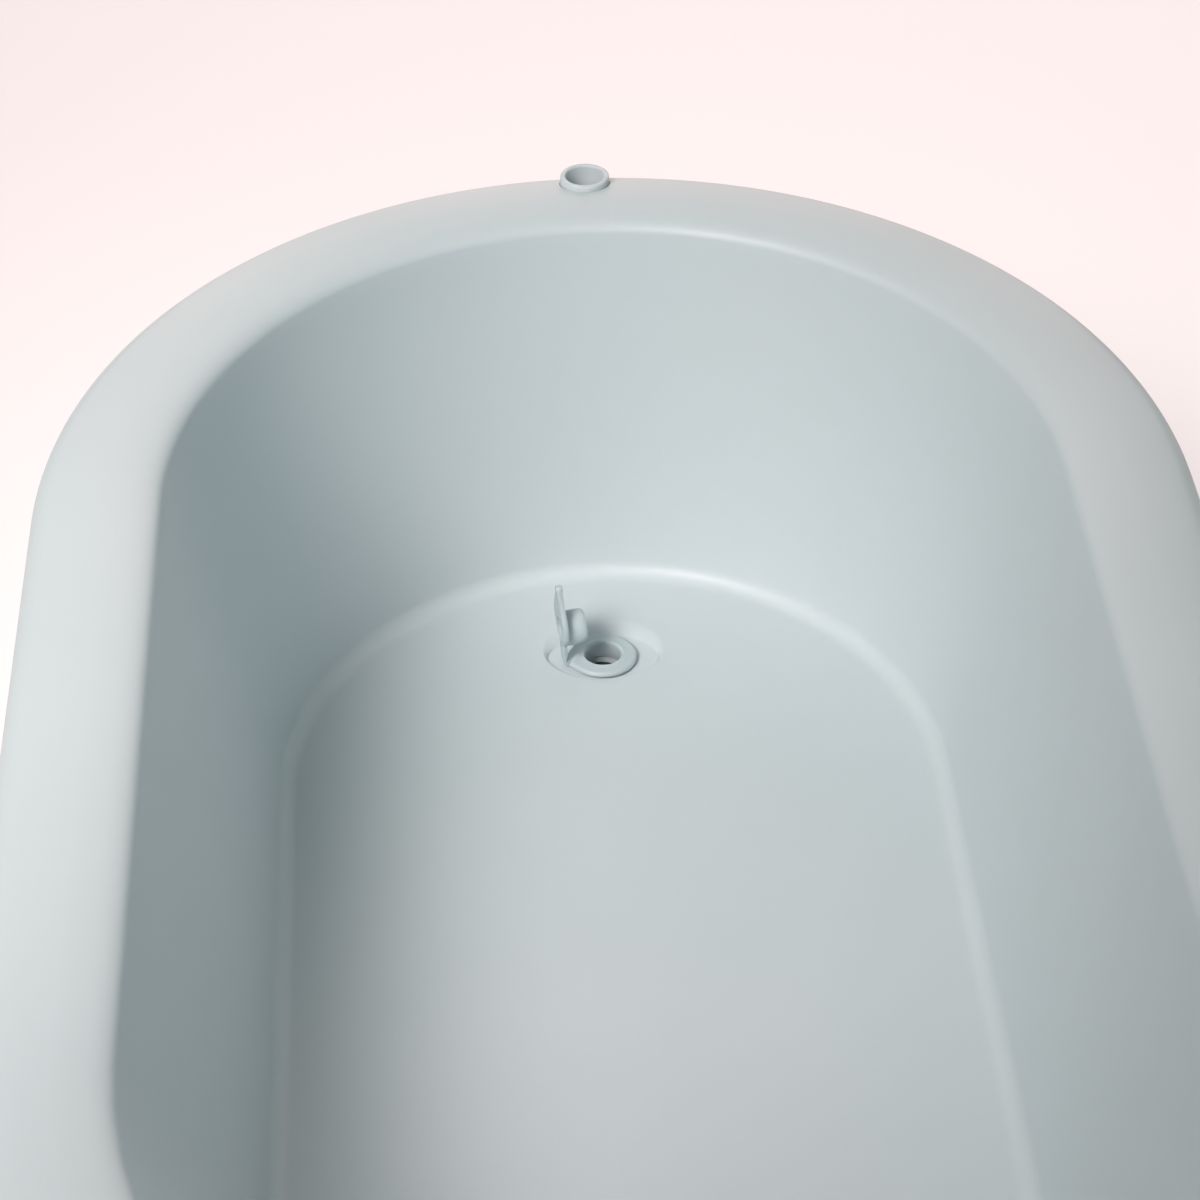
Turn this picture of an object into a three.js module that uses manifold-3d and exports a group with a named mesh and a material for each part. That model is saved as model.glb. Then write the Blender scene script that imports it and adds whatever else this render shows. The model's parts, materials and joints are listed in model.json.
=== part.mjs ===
// A baby bathtub for bathing on a stand or on the floor. The tub is one thin moulded wall with a
// broad rolled rim. A silicone plug ring with a hinged cap sits in the floor at the foot end.
// Beneath it an elbow leads into a ribbed hose, whose open end stands in a hole in the rim, so
// that the tub drains when the hose end is drawn down out of the rim.
//
// Millimetres. +Z is up and +Y runs towards the drain end. The origin lies on the ground, under
// the middle of the tub.

import * as THREE from 'three';
import { mergeVertices } from 'three/addons/utils/BufferGeometryUtils.js';
import Module from 'manifold-3d';

const wasm = await Module();
wasm.setup();

// Overall size of the tub
const bathLength = 880;
const bathWidth = 500;
const floorHeight = 50;
const innerDepth = 186.1;
const shellWall = 3;

// Rim, seen in section from the crease where the wall ends to its outer edge
const rimWidth = 56;
const rimCrestReach = 22.1;
const rimDomeRadius = 71.3;
const rimRollRadius = 10.4;
const rimSkirtDrop = 10;
const creaseWallEase = 5;
const creaseRimEase = 13;

// Plan of the floor and of the crease: straight sides and elliptical ends
const creaseEndReach = 213.8;
const floorHalfWidth = 154;
const floorEndReach = 164;
const drainEndLean = 26;
const headEndLean = 142.4;
const floorFillet = 9;
const backrestFillet = 60;

// Drain in the floor
const drainFromCrease = 93.6;
const recessHalfLength = 27;
const recessHalfWidth = 17.8;
const recessDepth = 2;
const recessSlope = 4;
const padRadius = 30;
const padThickness = 3;
const drainHoleRadius = 10.8;
const spigotRadius = 13.5;
const spigotLength = 8;

// Plug of silicone: ring, strap and cap
const plugYaw = THREE.MathUtils.degToRad(9);
const plugLean = THREE.MathUtils.degToRad(3);
const ringRadius = 16.6;
const ringHeight = 2.7;
const ringLipHeight = 0.4;
const ringLipWidth = 1.6;
const ringNeckWall = 1.4;
const ringNeckLength = 5.9;
const plugBoreRadius = 9.1;
const plugMouthRadius = 10.2;
const plugMouthDepth = 5;
const strapHalfWidth = 3.6;
const strapThickness = 2.5;
const strapFold = 1.6;
const strapHeel = 1.8;
const strapLength = 5;
const hingeReach = 17.7;
const hingeAboveFloor = 1.6;
const capThickness = 2.6;
const capRadius = 12;
const capOffset = 4.2;
const stopperRadius = 8.3;
const stopperLength = 10;
const stopperChamfer = 2;
const stopperWall = 2;
const tabHalfWidth = 1.8;
const tabLength = 9.5;
const tabNub = 0.4;

// Outlet under the floor
const gasketThickness = 1.5;
const elbowFlange = 2.5;
const outletDrop = 33;
const elbowBend = 10;
const elbowRadius = 9.5;
const outletBoreRadius = 6.75;
const hoseSpigotRadius = 8.25;
const hoseSpigotLength = 22;
const elbowShoulder = 3;
const nutWall = 3.1;
const nutFloor = 2.5;
const nutDepth = 11.4;
const nutGrip = 1;
const nutGrips = 10;

// Ribbed drain hose
const hoseBoreRadius = 9.3;
const hoseRootRadius = 10.6;
const hoseCrestRadius = 11.6;
const hoseCuffRadius = 11.2;
const hoseRibPitch = 4;
const ribsPerBoreRing = 5;

// Hose end that stands in the rim
const sleeveFromCrease = 37.7;
const sleeveRadius = 11.6;
const sleeveBoreRadius = 9.2;
const sleeveRise = 2.7;
const sleeveLip = 0.9;
const sleeveCollarRadius = 14;
const sleeveCollarHeight = 3.7;
const sleeveHoleGap = 0.5;
const bossRadius = 15.5;
const bossDrop = 19.5;
const rimRibThickness = 1.8;
const rimRibSpacing = 12;
const rimRibHeight = 16;

// Spring bands that hold the hose on its two spigots
const clampThickness = 0.8;
const clampWidth = 8;
const clampEarHeight = 5;
const clampEarGap = 3;
const clampFit = 0.6;

// Feet: oval skirts under the floor, each closed by a rubber pad
const footHalfWidth = 24.5;
const footHalfLength = 36.5;
const footWall = 2.5;
const footAcross = 110;
const footFromDrain = 49;
const headFootAcross = 100;
const headFootFromFloorEnd = 100;
const footTurn = THREE.MathUtils.degToRad(15);
const footPadThickness = 3.7;
const footPadPlug = 5;

// Clearance left between pieces that touch, and the overrun of cuts past a face
const fit = 0.3;
const overrun = 5;

// Facet counts
const endFacets = 32;
const sideFacets = 4;
const filletFacets = 3;
const creaseFacets = 4;
const domeFacets = 4;
const rollFacets = 3;
const roundFacets = 32;
const hoseSides = 8;
const bendFacets = 8;
const ovalFacets = 32;

// Places worked out from the sizes above
const creaseEnd = bathLength / 2 - rimWidth;
const creaseHalfWidth = bathWidth / 2 - rimWidth;
const creaseHeight = floorHeight + innerDepth;
const rimCrestRise = rimCrestReach ** 2 / (2 * rimDomeRadius);
const drainY = creaseEnd - drainFromCrease;
const sleeveY = creaseEnd + sleeveFromCrease;
const floorDrainEnd = creaseEnd - drainEndLean;
const floorHeadEnd = headEndLean - creaseEnd;

// Solids: a closed mesh becomes one that can be joined and cut
function solidOf(geometry) {
  const bare = new THREE.BufferGeometry();
  bare.setAttribute('position', geometry.getAttribute('position').clone());
  if (geometry.index) bare.setIndex(geometry.index.clone());
  const merged = mergeVertices(bare, 1e-4);
  const vertProperties = new Float32Array(merged.getAttribute('position').array);
  const triVerts = new Uint32Array(merged.index.array);
  return new wasm.Manifold(new wasm.Mesh({ numProp: 3, vertProperties, triVerts }));
}

function geometryOf(solid) {
  const mesh = solid.getMesh();
  const geometry = new THREE.BufferGeometry();
  const stride = mesh.numProp;
  const count = mesh.vertProperties.length / stride;
  const position = new Float32Array(count * 3);
  for (let i = 0; i < count; i += 1) {
    position.set(mesh.vertProperties.subarray(i * stride, i * stride + 3), i * 3);
  }
  geometry.setAttribute('position', new THREE.BufferAttribute(position, 3));
  geometry.setIndex(new THREE.BufferAttribute(new Uint32Array(mesh.triVerts), 1));
  geometry.computeVertexNormals();
  return geometry;
}

function joined(solids) {
  return solids.reduce((whole, next) => whole.add(next));
}

function movedSolid(geometry, x, y, z) {
  return solidOf(geometry.translate(x, y, z));
}

// A round solid about Z from a closed profile of [radius, height] pairs, listed anticlockwise
function turned(profile, facets = roundFacets) {
  const points = profile.map(([radius, height]) => new THREE.Vector2(radius, height));
  const geometry = new THREE.LatheGeometry([...points, points[0]], facets);
  return geometry.rotateX(Math.PI / 2);
}

function tube(outer, inner, bottom, top, facets = roundFacets) {
  return turned([[inner, bottom], [outer, bottom], [outer, top], [inner, top]], facets);
}

function rod(radius, bottom, top, facets = roundFacets) {
  return turned([[0, bottom], [radius, bottom], [radius, top], [0, top]], facets);
}

// A flat outline in X and Y, raised along Z
function raised(shape, bottom, top, facets = ovalFacets / 4) {
  const options = { depth: top - bottom, bevelEnabled: false, curveSegments: facets };
  return new THREE.ExtrudeGeometry(shape, options).translate(0, 0, bottom);
}

function block(sizeX, sizeY, bottom, top) {
  const geometry = new THREE.BoxGeometry(sizeX, sizeY, top - bottom);
  return geometry.translate(0, 0, (bottom + top) / 2);
}

function oval(halfWidth, halfLength) {
  const points = [];
  for (let i = 0; i < ovalFacets; i += 1) {
    const angle = (2 * Math.PI * i) / ovalFacets;
    points.push(new THREE.Vector2(halfWidth * Math.cos(angle), halfLength * Math.sin(angle)));
  }
  return new THREE.Shape(points);
}

// A solid skinned over a stack of closed rings, with a point closing each end
function skinned(rings, firstCentre, lastCentre) {
  const count = rings[0].length;
  const points = [firstCentre, ...rings.flat(), lastCentre];
  const index = [];
  const last = points.length - 1;
  for (let i = 0; i < count; i += 1) {
    const next = (i + 1) % count;
    index.push(0, 1 + i, 1 + next);
    for (let j = 0; j < rings.length - 1; j += 1) {
      const a = 1 + j * count + i;
      const b = 1 + j * count + next;
      index.push(a, a + count, b + count, a, b + count, b);
    }
    const base = 1 + (rings.length - 1) * count;
    index.push(last, base + next, base + i);
  }
  const geometry = new THREE.BufferGeometry().setFromPoints(points);
  geometry.setIndex(index);
  return geometry;
}

// Height of the rim's top face above the crease, at a distance out from the crease
function rimDome(reach) {
  return rimCrestRise - (reach - rimCrestReach) ** 2 / (2 * rimDomeRadius);
}

function rimTop(reach) {
  const past = Math.max(0, reach - (rimWidth - rimRollRadius));
  return rimDome(reach) - rimRollRadius + Math.sqrt(rimRollRadius ** 2 - past ** 2);
}

// Plan outline, anticlockwise from the +X side: drain end, left side, head end, right side
function outline(halfWidth, endReach, drainEnd, headEnd) {
  const points = [];
  const ends = [
    { centre: drainEnd - endReach, start: 0 },
    { centre: headEnd + endReach, start: Math.PI },
  ];
  ends.forEach(({ centre, start }, k) => {
    const other = ends[1 - k].centre;
    for (let i = 0; i <= endFacets; i += 1) {
      const angle = start + (Math.PI * i) / endFacets;
      const x = halfWidth * Math.cos(angle);
      const y = centre + endReach * Math.sin(angle);
      const normal = new THREE.Vector2(Math.cos(angle) / halfWidth, Math.sin(angle) / endReach);
      points.push({ x, y, angle, normal: normal.normalize() });
    }
    const side = Math.sign(Math.cos(start + Math.PI));
    for (let i = 1; i < sideFacets; i += 1) {
      const y = centre + ((other - centre) * i) / sideFacets;
      const normal = new THREE.Vector2(side, 0);
      points.push({ x: side * halfWidth, y, angle: start + Math.PI, normal });
    }
  });
  return points;
}

// One radial section of the tub: places on its inner and top face, each with the way through
// the wall to its back face
function section(floorPoint, creasePoint) {
  const run = new THREE.Vector2(creasePoint.x - floorPoint.x, creasePoint.y - floorPoint.y);
  const places = [];
  const put = (base, normal, lean, reach, height, outward, downward) => {
    const rise = height / innerDepth;
    const slip = run.clone().addScaledVector(normal, -lean).multiplyScalar(Math.min(rise, 1));
    const x = base.x + slip.x + normal.x * reach;
    const y = base.y + slip.y + normal.y * reach;
    const through = new THREE.Vector3(normal.x * outward, normal.y * outward, -downward);
    places.push({ at: new THREE.Vector3(x, y, floorHeight + height), through });
  };

  // Fillet between the floor and the wall, larger under the backrest
  const floorLean = run.dot(floorPoint.normal);
  const tilt = Math.atan2(floorLean, innerDepth);
  const headShare = Math.max(0, -Math.sin(floorPoint.angle)) ** 2;
  const radius = floorFillet + (backrestFillet - floorFillet) * headShare;
  const centreReach = (-radius * (1 - Math.sin(tilt))) / Math.cos(tilt);
  for (let i = 0; i <= filletFacets; i += 1) {
    const turn = -Math.PI / 2 + ((Math.PI / 2 - tilt) * i) / filletFacets;
    const reach = centreReach + radius * Math.cos(turn);
    const height = radius * (1 + Math.sin(turn));
    put(floorPoint, floorPoint.normal, floorLean, reach, height, Math.cos(turn), -Math.sin(turn));
  }

  // Eased crease between the wall and the rim
  const lean = run.dot(creasePoint.normal);
  const wallRun = Math.hypot(lean, innerDepth);
  const start = [(-creaseWallEase * lean) / wallRun, (-creaseWallEase * innerDepth) / wallRun];
  const end = [creaseRimEase, rimDome(creaseRimEase)];
  const endSlope = (rimCrestReach - creaseRimEase) / rimDomeRadius;
  const cornerUp = (end[1] - endSlope * end[0]) / (1 - (endSlope * lean) / innerDepth);
  const corner = [(cornerUp * lean) / innerDepth, cornerUp];
  const onRim = (reach, height, along, up) => {
    const length = Math.hypot(along, up);
    const base = {
      x: creasePoint.x - (run.x - creasePoint.normal.x * lean),
      y: creasePoint.y - (run.y - creasePoint.normal.y * lean),
    };
    put(base, creasePoint.normal, lean, reach, innerDepth + height, up / length, along / length);
  };
  for (let i = 0; i <= creaseFacets; i += 1) {
    const t = i / creaseFacets;
    const [reach, height] = [0, 1].map(
      (k) => start[k] * (1 - t) ** 2 + corner[k] * 2 * t * (1 - t) + end[k] * t ** 2,
    );
    const [along, up] = [0, 1].map(
      (k) => (corner[k] - start[k]) * (1 - t) + (end[k] - corner[k]) * t,
    );
    onRim(reach, height, along, up);
  }

  // Domed top of the rim, its outer roll and the short skirt
  const domeEnd = rimWidth - rimRollRadius;
  for (let i = 1; i <= domeFacets; i += 1) {
    const reach = creaseRimEase + ((domeEnd - creaseRimEase) * i) / domeFacets;
    onRim(reach, rimDome(reach), rimDomeRadius, rimCrestReach - reach);
  }
  for (let i = 1; i <= rollFacets; i += 1) {
    const turn = ((Math.PI / 2) * i) / rollFacets;
    const reach = domeEnd + rimRollRadius * Math.sin(turn);
    const height = rimDome(reach) - rimRollRadius * (1 - Math.cos(turn));
    const slope = (rimCrestReach - reach) / rimDomeRadius;
    onRim(reach, height, Math.cos(turn), slope * Math.cos(turn) - Math.sin(turn));
  }
  onRim(rimWidth, rimTop(rimWidth) - rimSkirtDrop, 0, -rimSkirtDrop);
  return places;
}

const floorOutline = outline(floorHalfWidth, floorEndReach, floorDrainEnd, floorHeadEnd);
const creaseOutline = outline(creaseHalfWidth, creaseEndReach, creaseEnd, -creaseEnd);
const sections = floorOutline.map((point, i) => section(point, creaseOutline[i]));
const floorMiddle = (floorDrainEnd + floorHeadEnd) / 2;

function ringThrough(station, depth) {
  return sections.map((places) => {
    const { at, through } = places[station];
    return at.clone().addScaledVector(through, depth);
  });
}

// The bare shell, front face and back face of one wall
function shellSolid() {
  const stations = [...sections[0].keys()];
  const front = stations.map((station) => ringThrough(station, 0));
  const back = stations.map((station) => ringThrough(station, shellWall)).reverse();
  const top = new THREE.Vector3(0, floorMiddle, floorHeight);
  const bottom = new THREE.Vector3(0, floorMiddle, floorHeight - shellWall);
  return solidOf(skinned([...front, ...back], top, bottom));
}

// Everything that lies under the shell's front face, which trims what is moulded behind it
function spaceBehindFrontFace() {
  const stations = [...sections[0].keys()];
  const front = stations.map((station) => ringThrough(station, shellWall / 2));
  const edge = front[front.length - 1].map((point) => new THREE.Vector3(point.x, point.y, -overrun));
  const top = new THREE.Vector3(0, floorMiddle, floorHeight - shellWall / 2);
  const bottom = new THREE.Vector3(0, floorMiddle, -overrun);
  return solidOf(skinned([...front, edge], top, bottom));
}

// Feet
const headFootY = floorHeadEnd + headFootFromFloorEnd;
const feet = [
  { name: 'foot_pad_drain_left', x: -footAcross, y: drainY - footFromDrain, turn: -footTurn },
  { name: 'foot_pad_drain_right', x: footAcross, y: drainY - footFromDrain, turn: footTurn },
  { name: 'foot_pad_head_left', x: -headFootAcross, y: headFootY, turn: footTurn },
  { name: 'foot_pad_head_right', x: headFootAcross, y: headFootY, turn: -footTurn },
];
const footSkirtBottom = footPadThickness + fit;

function footSkirt({ x, y, turn }) {
  const shape = oval(footHalfWidth, footHalfLength);
  shape.holes.push(oval(footHalfWidth - footWall, footHalfLength - footWall));
  const geometry = raised(shape, footSkirtBottom, floorHeight).rotateZ(turn);
  return movedSolid(geometry, x, y, 0);
}

function footPad() {
  const sole = solidOf(raised(oval(footHalfWidth, footHalfLength), 0, footPadThickness));
  const inset = footWall + fit;
  const plugOval = oval(footHalfWidth - inset, footHalfLength - inset);
  const plug = solidOf(raised(plugOval, 0, footPadThickness + footPadPlug));
  return geometryOf(sole.add(plug));
}

// Boss and three short ribs behind the rim, round the hole for the hose end
const rimCrest = creaseHeight + rimCrestRise;
const bossBottom = rimCrest - bossDrop;
const lipTop = rimCrest + sleeveRise;

function rimRib(offset) {
  const reach = sleeveFromCrease;
  const rib = block(rimRibThickness, reach, rimCrest - rimRibHeight, rimCrest);
  return movedSolid(rib, offset, creaseEnd + reach / 2, 0);
}

// The tub
function tubShell() {
  const drainAt = (geometry) => movedSolid(geometry, 0, drainY, floorHeight);
  const padTop = -shellWall / 2;
  const padBottom = -recessDepth - padThickness;
  const behind = joined([
    ...feet.map(footSkirt),
    drainAt(rod(padRadius, padBottom, padTop)),
    drainAt(rod(spigotRadius, padBottom - spigotLength, padTop)),
    movedSolid(rod(bossRadius, bossBottom, rimCrest), 0, sleeveY, 0),
    rimRib(-rimRibSpacing),
    rimRib(0),
    rimRib(rimRibSpacing),
  ]).intersect(spaceBehindFrontFace());
  const recess = skinned(
    [
      [recessHalfLength + recessSlope, recessHalfWidth + recessSlope, 0],
      [recessHalfLength, recessHalfWidth, -recessDepth],
    ].map(([halfX, halfY, height]) =>
      oval(halfX, halfY).getPoints().slice(0, ovalFacets)
        .map((point) => new THREE.Vector3(point.x, point.y, height))),
    new THREE.Vector3(0, 0, 0),
    new THREE.Vector3(0, 0, -recessDepth),
  );
  const drainHole = rod(drainHoleRadius, padBottom - spigotLength - overrun, overrun);
  const sleeveHole = rod(sleeveRadius + sleeveHoleGap, bossBottom - overrun, lipTop);
  const tub = shellSolid().add(behind)
    .subtract(drainAt(recess))
    .subtract(drainAt(drainHole))
    .subtract(movedSolid(sleeveHole, 0, sleeveY, 0));
  return geometryOf(tub);
}

// Plug ring: a flange on the recess, drawn out to the strap, and a neck down through the floor
const ringBottom = fit - recessDepth;
const ringTop = ringBottom + ringHeight;
const lipCrest = ringTop + ringLipHeight;

function plugRing() {
  const reach = hingeReach - fit / 2;
  const tangent = Math.acos(ringRadius / Math.hypot(hingeReach, strapHalfWidth));
  const corner = Math.atan2(strapHalfWidth, -hingeReach);
  const start = corner - tangent;
  const shape = new THREE.Shape();
  shape.moveTo(-reach, -strapHalfWidth);
  shape.absarc(0, 0, ringRadius, -start, start, false);
  shape.lineTo(-reach, strapHalfWidth);
  const flange = solidOf(raised(shape, ringBottom, ringTop, roundFacets));
  const neckBottom = ringBottom - ringNeckLength;
  const neck = solidOf(rod(plugBoreRadius + ringNeckWall, neckBottom, ringTop));
  const lip = solidOf(rod(plugMouthRadius + ringLipWidth, ringBottom, lipCrest));
  const bore = turned([
    [0, neckBottom - overrun],
    [plugBoreRadius, neckBottom - overrun],
    [plugBoreRadius, lipCrest - plugMouthDepth],
    [plugMouthRadius, lipCrest],
    [plugMouthRadius, lipCrest + overrun],
    [0, lipCrest + overrun],
  ]);
  return geometryOf(joined([flange, neck, lip]).subtract(solidOf(bore)));
}

// Strap: an angle of silicone from the ring up to the cap, thinnest at its fold, in the hinge's
// own frame, with its height along Z and the cap's inner face towards +X
const capFace = lipCrest + fit - hingeAboveFloor;

function profileAcross(points, halfWidth) {
  const shape = new THREE.Shape(points.map(([x, z]) => new THREE.Vector2(x, z)));
  const options = { depth: 2 * halfWidth, bevelEnabled: false };
  const geometry = new THREE.ExtrudeGeometry(shape, options).rotateX(Math.PI / 2);
  return geometry.translate(0, halfWidth, 0);
}

function plugStrap() {
  const base = ringBottom - hingeAboveFloor;
  const top = ringTop - hingeAboveFloor;
  const inner = -capFace;
  const outer = inner - strapThickness;
  const points = [
    [-fit / 2, base],
    [-fit / 2, top],
    [outer + strapFold, top],
    [inner, strapLength],
    [outer, strapLength],
    [outer, base + strapHeel],
    [outer + strapHeel, base],
  ];
  return profileAcross(points, strapHalfWidth);
}

// Outline of the cap's plate: strap end below, and a disc drawn out to the pull tab above
function capOutline(plateCentre, tabCentre) {
  const strapRise = Math.sqrt(capRadius ** 2 - strapHalfWidth ** 2);
  const low = Math.atan2(-strapRise, strapHalfWidth);
  const high = Math.asin((capRadius - tabHalfWidth) / (tabCentre - plateCentre));
  const shape = new THREE.Shape();
  shape.moveTo(-strapHalfWidth, strapLength + fit);
  shape.lineTo(strapHalfWidth, strapLength + fit);
  shape.absarc(0, plateCentre, capRadius, low, high, false);
  shape.absarc(0, tabCentre, tabHalfWidth, high, Math.PI - high, false);
  shape.absarc(0, plateCentre, capRadius, Math.PI - high, Math.PI - low, false);
  return shape;
}

// Cap: plate, bead on the tab and hollow stopper, in the hinge's own frame
function plugCap() {
  const outer = -capFace - capThickness;
  const plateCentre = hingeReach + capOffset;
  const nubRadius = tabHalfWidth + tabNub;
  const nubCentre = plateCentre + capRadius + tabLength - nubRadius;
  const upright = new THREE.Matrix4().makeBasis(
    new THREE.Vector3(0, 1, 0),
    new THREE.Vector3(0, 0, 1),
    new THREE.Vector3(1, 0, 0),
  );
  const placed = (geometry, height) =>
    movedSolid(geometry.applyMatrix4(upright), 0, 0, height);
  const outline = capOutline(plateCentre, nubCentre);
  const plate = placed(raised(outline, outer, -capFace, roundFacets / 2), 0);
  const nub = placed(rod(nubRadius, outer - tabNub, tabNub - capFace), nubCentre);
  const tip = stopperLength - capFace;
  const stopper = placed(turned([
    [0, outer + capThickness / 2],
    [stopperRadius, outer + capThickness / 2],
    [stopperRadius, tip - stopperChamfer],
    [stopperRadius - stopperChamfer, tip],
    [0, tip],
  ]), hingeReach);
  const hollow = rod(stopperRadius - stopperWall, outer - overrun, tip - stopperWall);
  return geometryOf(joined([plate, nub, stopper]).subtract(placed(hollow, hingeReach)));
}

// Outlet: gasket, elbow and nut, hung below the floor in the drain's frame
const spigotBottom = -recessDepth - padThickness - spigotLength;
const gasketTop = spigotBottom - fit;
const flangeTop = gasketTop - gasketThickness - fit;
const flangeBottom = flangeTop - elbowFlange;
const nutSeat = flangeBottom - fit;
const nutInner = spigotRadius + fit;
const shoulderEnd = elbowBend + elbowShoulder;
const elbowSpigotEnd = shoulderEnd + hoseSpigotLength;

function gasket() {
  return tube(spigotRadius - fit, plugBoreRadius, gasketTop - gasketThickness, gasketTop);
}

// A round bar down from a height, round the bend and out along +Y
function bentBar(radius, top, end) {
  const bendTop = elbowBend - outletDrop;
  const ringAt = (y, z, turn) => {
    const points = [];
    for (let i = 0; i < roundFacets; i += 1) {
      const angle = (2 * Math.PI * i) / roundFacets;
      const over = radius * Math.sin(angle);
      const side = radius * Math.cos(angle);
      points.push(new THREE.Vector3(side, y + over * Math.cos(turn), z + over * Math.sin(turn)));
    }
    return points;
  };
  const rings = [ringAt(0, top, 0)];
  for (let i = 0; i <= bendFacets; i += 1) {
    const turn = ((Math.PI / 2) * i) / bendFacets;
    const y = elbowBend * (1 - Math.cos(turn));
    rings.push(ringAt(y, bendTop - elbowBend * Math.sin(turn), turn));
  }
  rings.push(ringAt(end, -outletDrop, Math.PI / 2));
  const last = new THREE.Vector3(0, end, -outletDrop);
  return solidOf(skinned(rings, new THREE.Vector3(0, 0, top), last));
}

function drainElbow() {
  const flange = solidOf(rod(spigotRadius - fit, flangeBottom, flangeTop));
  const outer = bentBar(elbowRadius, flangeTop, shoulderEnd);
  const tail = rod(hoseSpigotRadius, 0, hoseSpigotLength + elbowShoulder).rotateX(-Math.PI / 2);
  const spigot = movedSolid(tail, 0, elbowBend, -outletDrop);
  const bore = bentBar(outletBoreRadius, flangeTop + overrun, elbowSpigotEnd + overrun);
  return geometryOf(joined([flange, outer, spigot]).subtract(bore));
}

function drainNut() {
  const outer = nutInner + nutWall;
  const top = nutSeat + nutDepth;
  const bottom = nutSeat - nutFloor;
  const body = solidOf(turned([
    [elbowRadius + fit, bottom],
    [outer, bottom],
    [outer, top],
    [nutInner, top],
    [nutInner, nutSeat],
    [elbowRadius + fit, nutSeat],
  ]));
  const grips = [];
  for (let i = 0; i < nutGrips; i += 1) {
    const bar = block(2 * nutGrip, 2 * nutGrip, bottom, top).translate(outer, 0, 0);
    grips.push(solidOf(bar.rotateZ((2 * Math.PI * i) / nutGrips)));
  }
  return geometryOf(joined([body, ...grips]));
}

// Hose: straight out of the elbow, round a quarter turn and straight up to the hose end
const hoseLevel = floorHeight - outletDrop;
const hoseStart = drainY + shoulderEnd + fit;
const bendStart = drainY + elbowSpigotEnd;
const hoseTurn = sleeveY - bendStart;
const collarTop = bossBottom - fit;
const collarBottom = collarTop - sleeveCollarHeight;
const hoseTop = collarBottom - fit;
const hoseLeadIn = bendStart - hoseStart;
const hoseArc = (hoseTurn * Math.PI) / 2;
const hoseRise = hoseTop - (hoseLevel + hoseTurn);
const hoseLength = hoseLeadIn + hoseArc + hoseRise;

function hosePlace(along) {
  const past = along - hoseLeadIn;
  if (past <= 0) {
    return { y: hoseStart + along, z: hoseLevel, turn: 0 };
  }
  if (past >= hoseArc) {
    return { y: sleeveY, z: hoseLevel + hoseTurn + past - hoseArc, turn: Math.PI / 2 };
  }
  const turn = past / hoseTurn;
  const y = bendStart + hoseTurn * Math.sin(turn);
  const z = hoseLevel + hoseTurn * (1 - Math.cos(turn));
  return { y, z, turn };
}

function hoseRing(along, radius) {
  const { y, z, turn } = hosePlace(along);
  const points = [];
  for (let i = 0; i < hoseSides; i += 1) {
    const angle = (2 * Math.PI * i) / hoseSides;
    const side = radius * Math.cos(angle);
    const over = radius * Math.sin(angle);
    points.push(new THREE.Vector3(side, y - over * Math.sin(turn), z + over * Math.cos(turn)));
  }
  return points;
}

function drainHose() {
  const ribbed = hoseLength - 2 * hoseSpigotLength;
  const ribs = Math.round(ribbed / hoseRibPitch);
  const pitch = ribbed / ribs;
  const outside = [hoseRing(0, hoseCuffRadius), hoseRing(hoseSpigotLength, hoseCuffRadius)];
  const inside = [hoseRing(0, hoseBoreRadius)];
  for (let i = 0; i < ribs; i += 1) {
    const along = hoseSpigotLength + i * pitch;
    outside.push(hoseRing(along + pitch / 4, hoseRootRadius));
    outside.push(hoseRing(along + (3 * pitch) / 4, hoseCrestRadius));
    if (i % ribsPerBoreRing === 0) inside.push(hoseRing(along, hoseBoreRadius));
  }
  outside.push(hoseRing(hoseLength - hoseSpigotLength, hoseCuffRadius));
  inside.push(hoseRing(hoseLength - hoseSpigotLength, hoseBoreRadius));
  outside.push(hoseRing(hoseLength, hoseCuffRadius));
  inside.push(hoseRing(hoseLength, hoseBoreRadius));
  const rings = [...outside, ...inside.reverse()];
  const points = rings.flat();
  const index = [];
  for (let j = 0; j < rings.length; j += 1) {
    const below = j * hoseSides;
    const above = ((j + 1) % rings.length) * hoseSides;
    for (let i = 0; i < hoseSides; i += 1) {
      const next = (i + 1) % hoseSides;
      index.push(below + i, above + next, below + next, below + i, above + i, above + next);
    }
  }
  const geometry = new THREE.BufferGeometry().setFromPoints(points);
  geometry.setIndex(index);
  return geometry;
}

// Hose end: a smooth tube through the rim, a collar under the boss and a spigot for the hose
function hoseEnd() {
  const top = lipTop;
  const bottom = collarBottom - hoseSpigotLength;
  return turned([
    [outletBoreRadius, bottom],
    [hoseSpigotRadius, bottom],
    [hoseSpigotRadius, collarBottom],
    [sleeveCollarRadius, collarBottom],
    [sleeveCollarRadius, collarTop],
    [sleeveRadius, collarTop],
    [sleeveRadius, top - sleeveLip],
    [sleeveRadius - sleeveLip, top],
    [sleeveBoreRadius + sleeveLip, top],
    [sleeveBoreRadius, top - sleeveLip],
    [sleeveBoreRadius, collarTop],
    [outletBoreRadius, collarBottom],
  ]);
}

// Spring band round a hose end, with two ears to squeeze, about its own Z
function hoseClamp() {
  const inner = hoseCuffRadius + clampFit;
  const outer = inner + clampThickness;
  const band = solidOf(tube(outer, inner, -clampWidth / 2, clampWidth / 2));
  const ears = [-1, 1].map((side) => {
    const ear = block(clampEarHeight, clampThickness, -clampWidth / 2, clampWidth / 2);
    const reach = inner + clampThickness / 2 + clampEarHeight / 2;
    return movedSolid(ear, reach, (side * (clampEarGap + clampThickness)) / 2, 0);
  });
  return geometryOf(joined([band, ...ears]));
}

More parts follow.
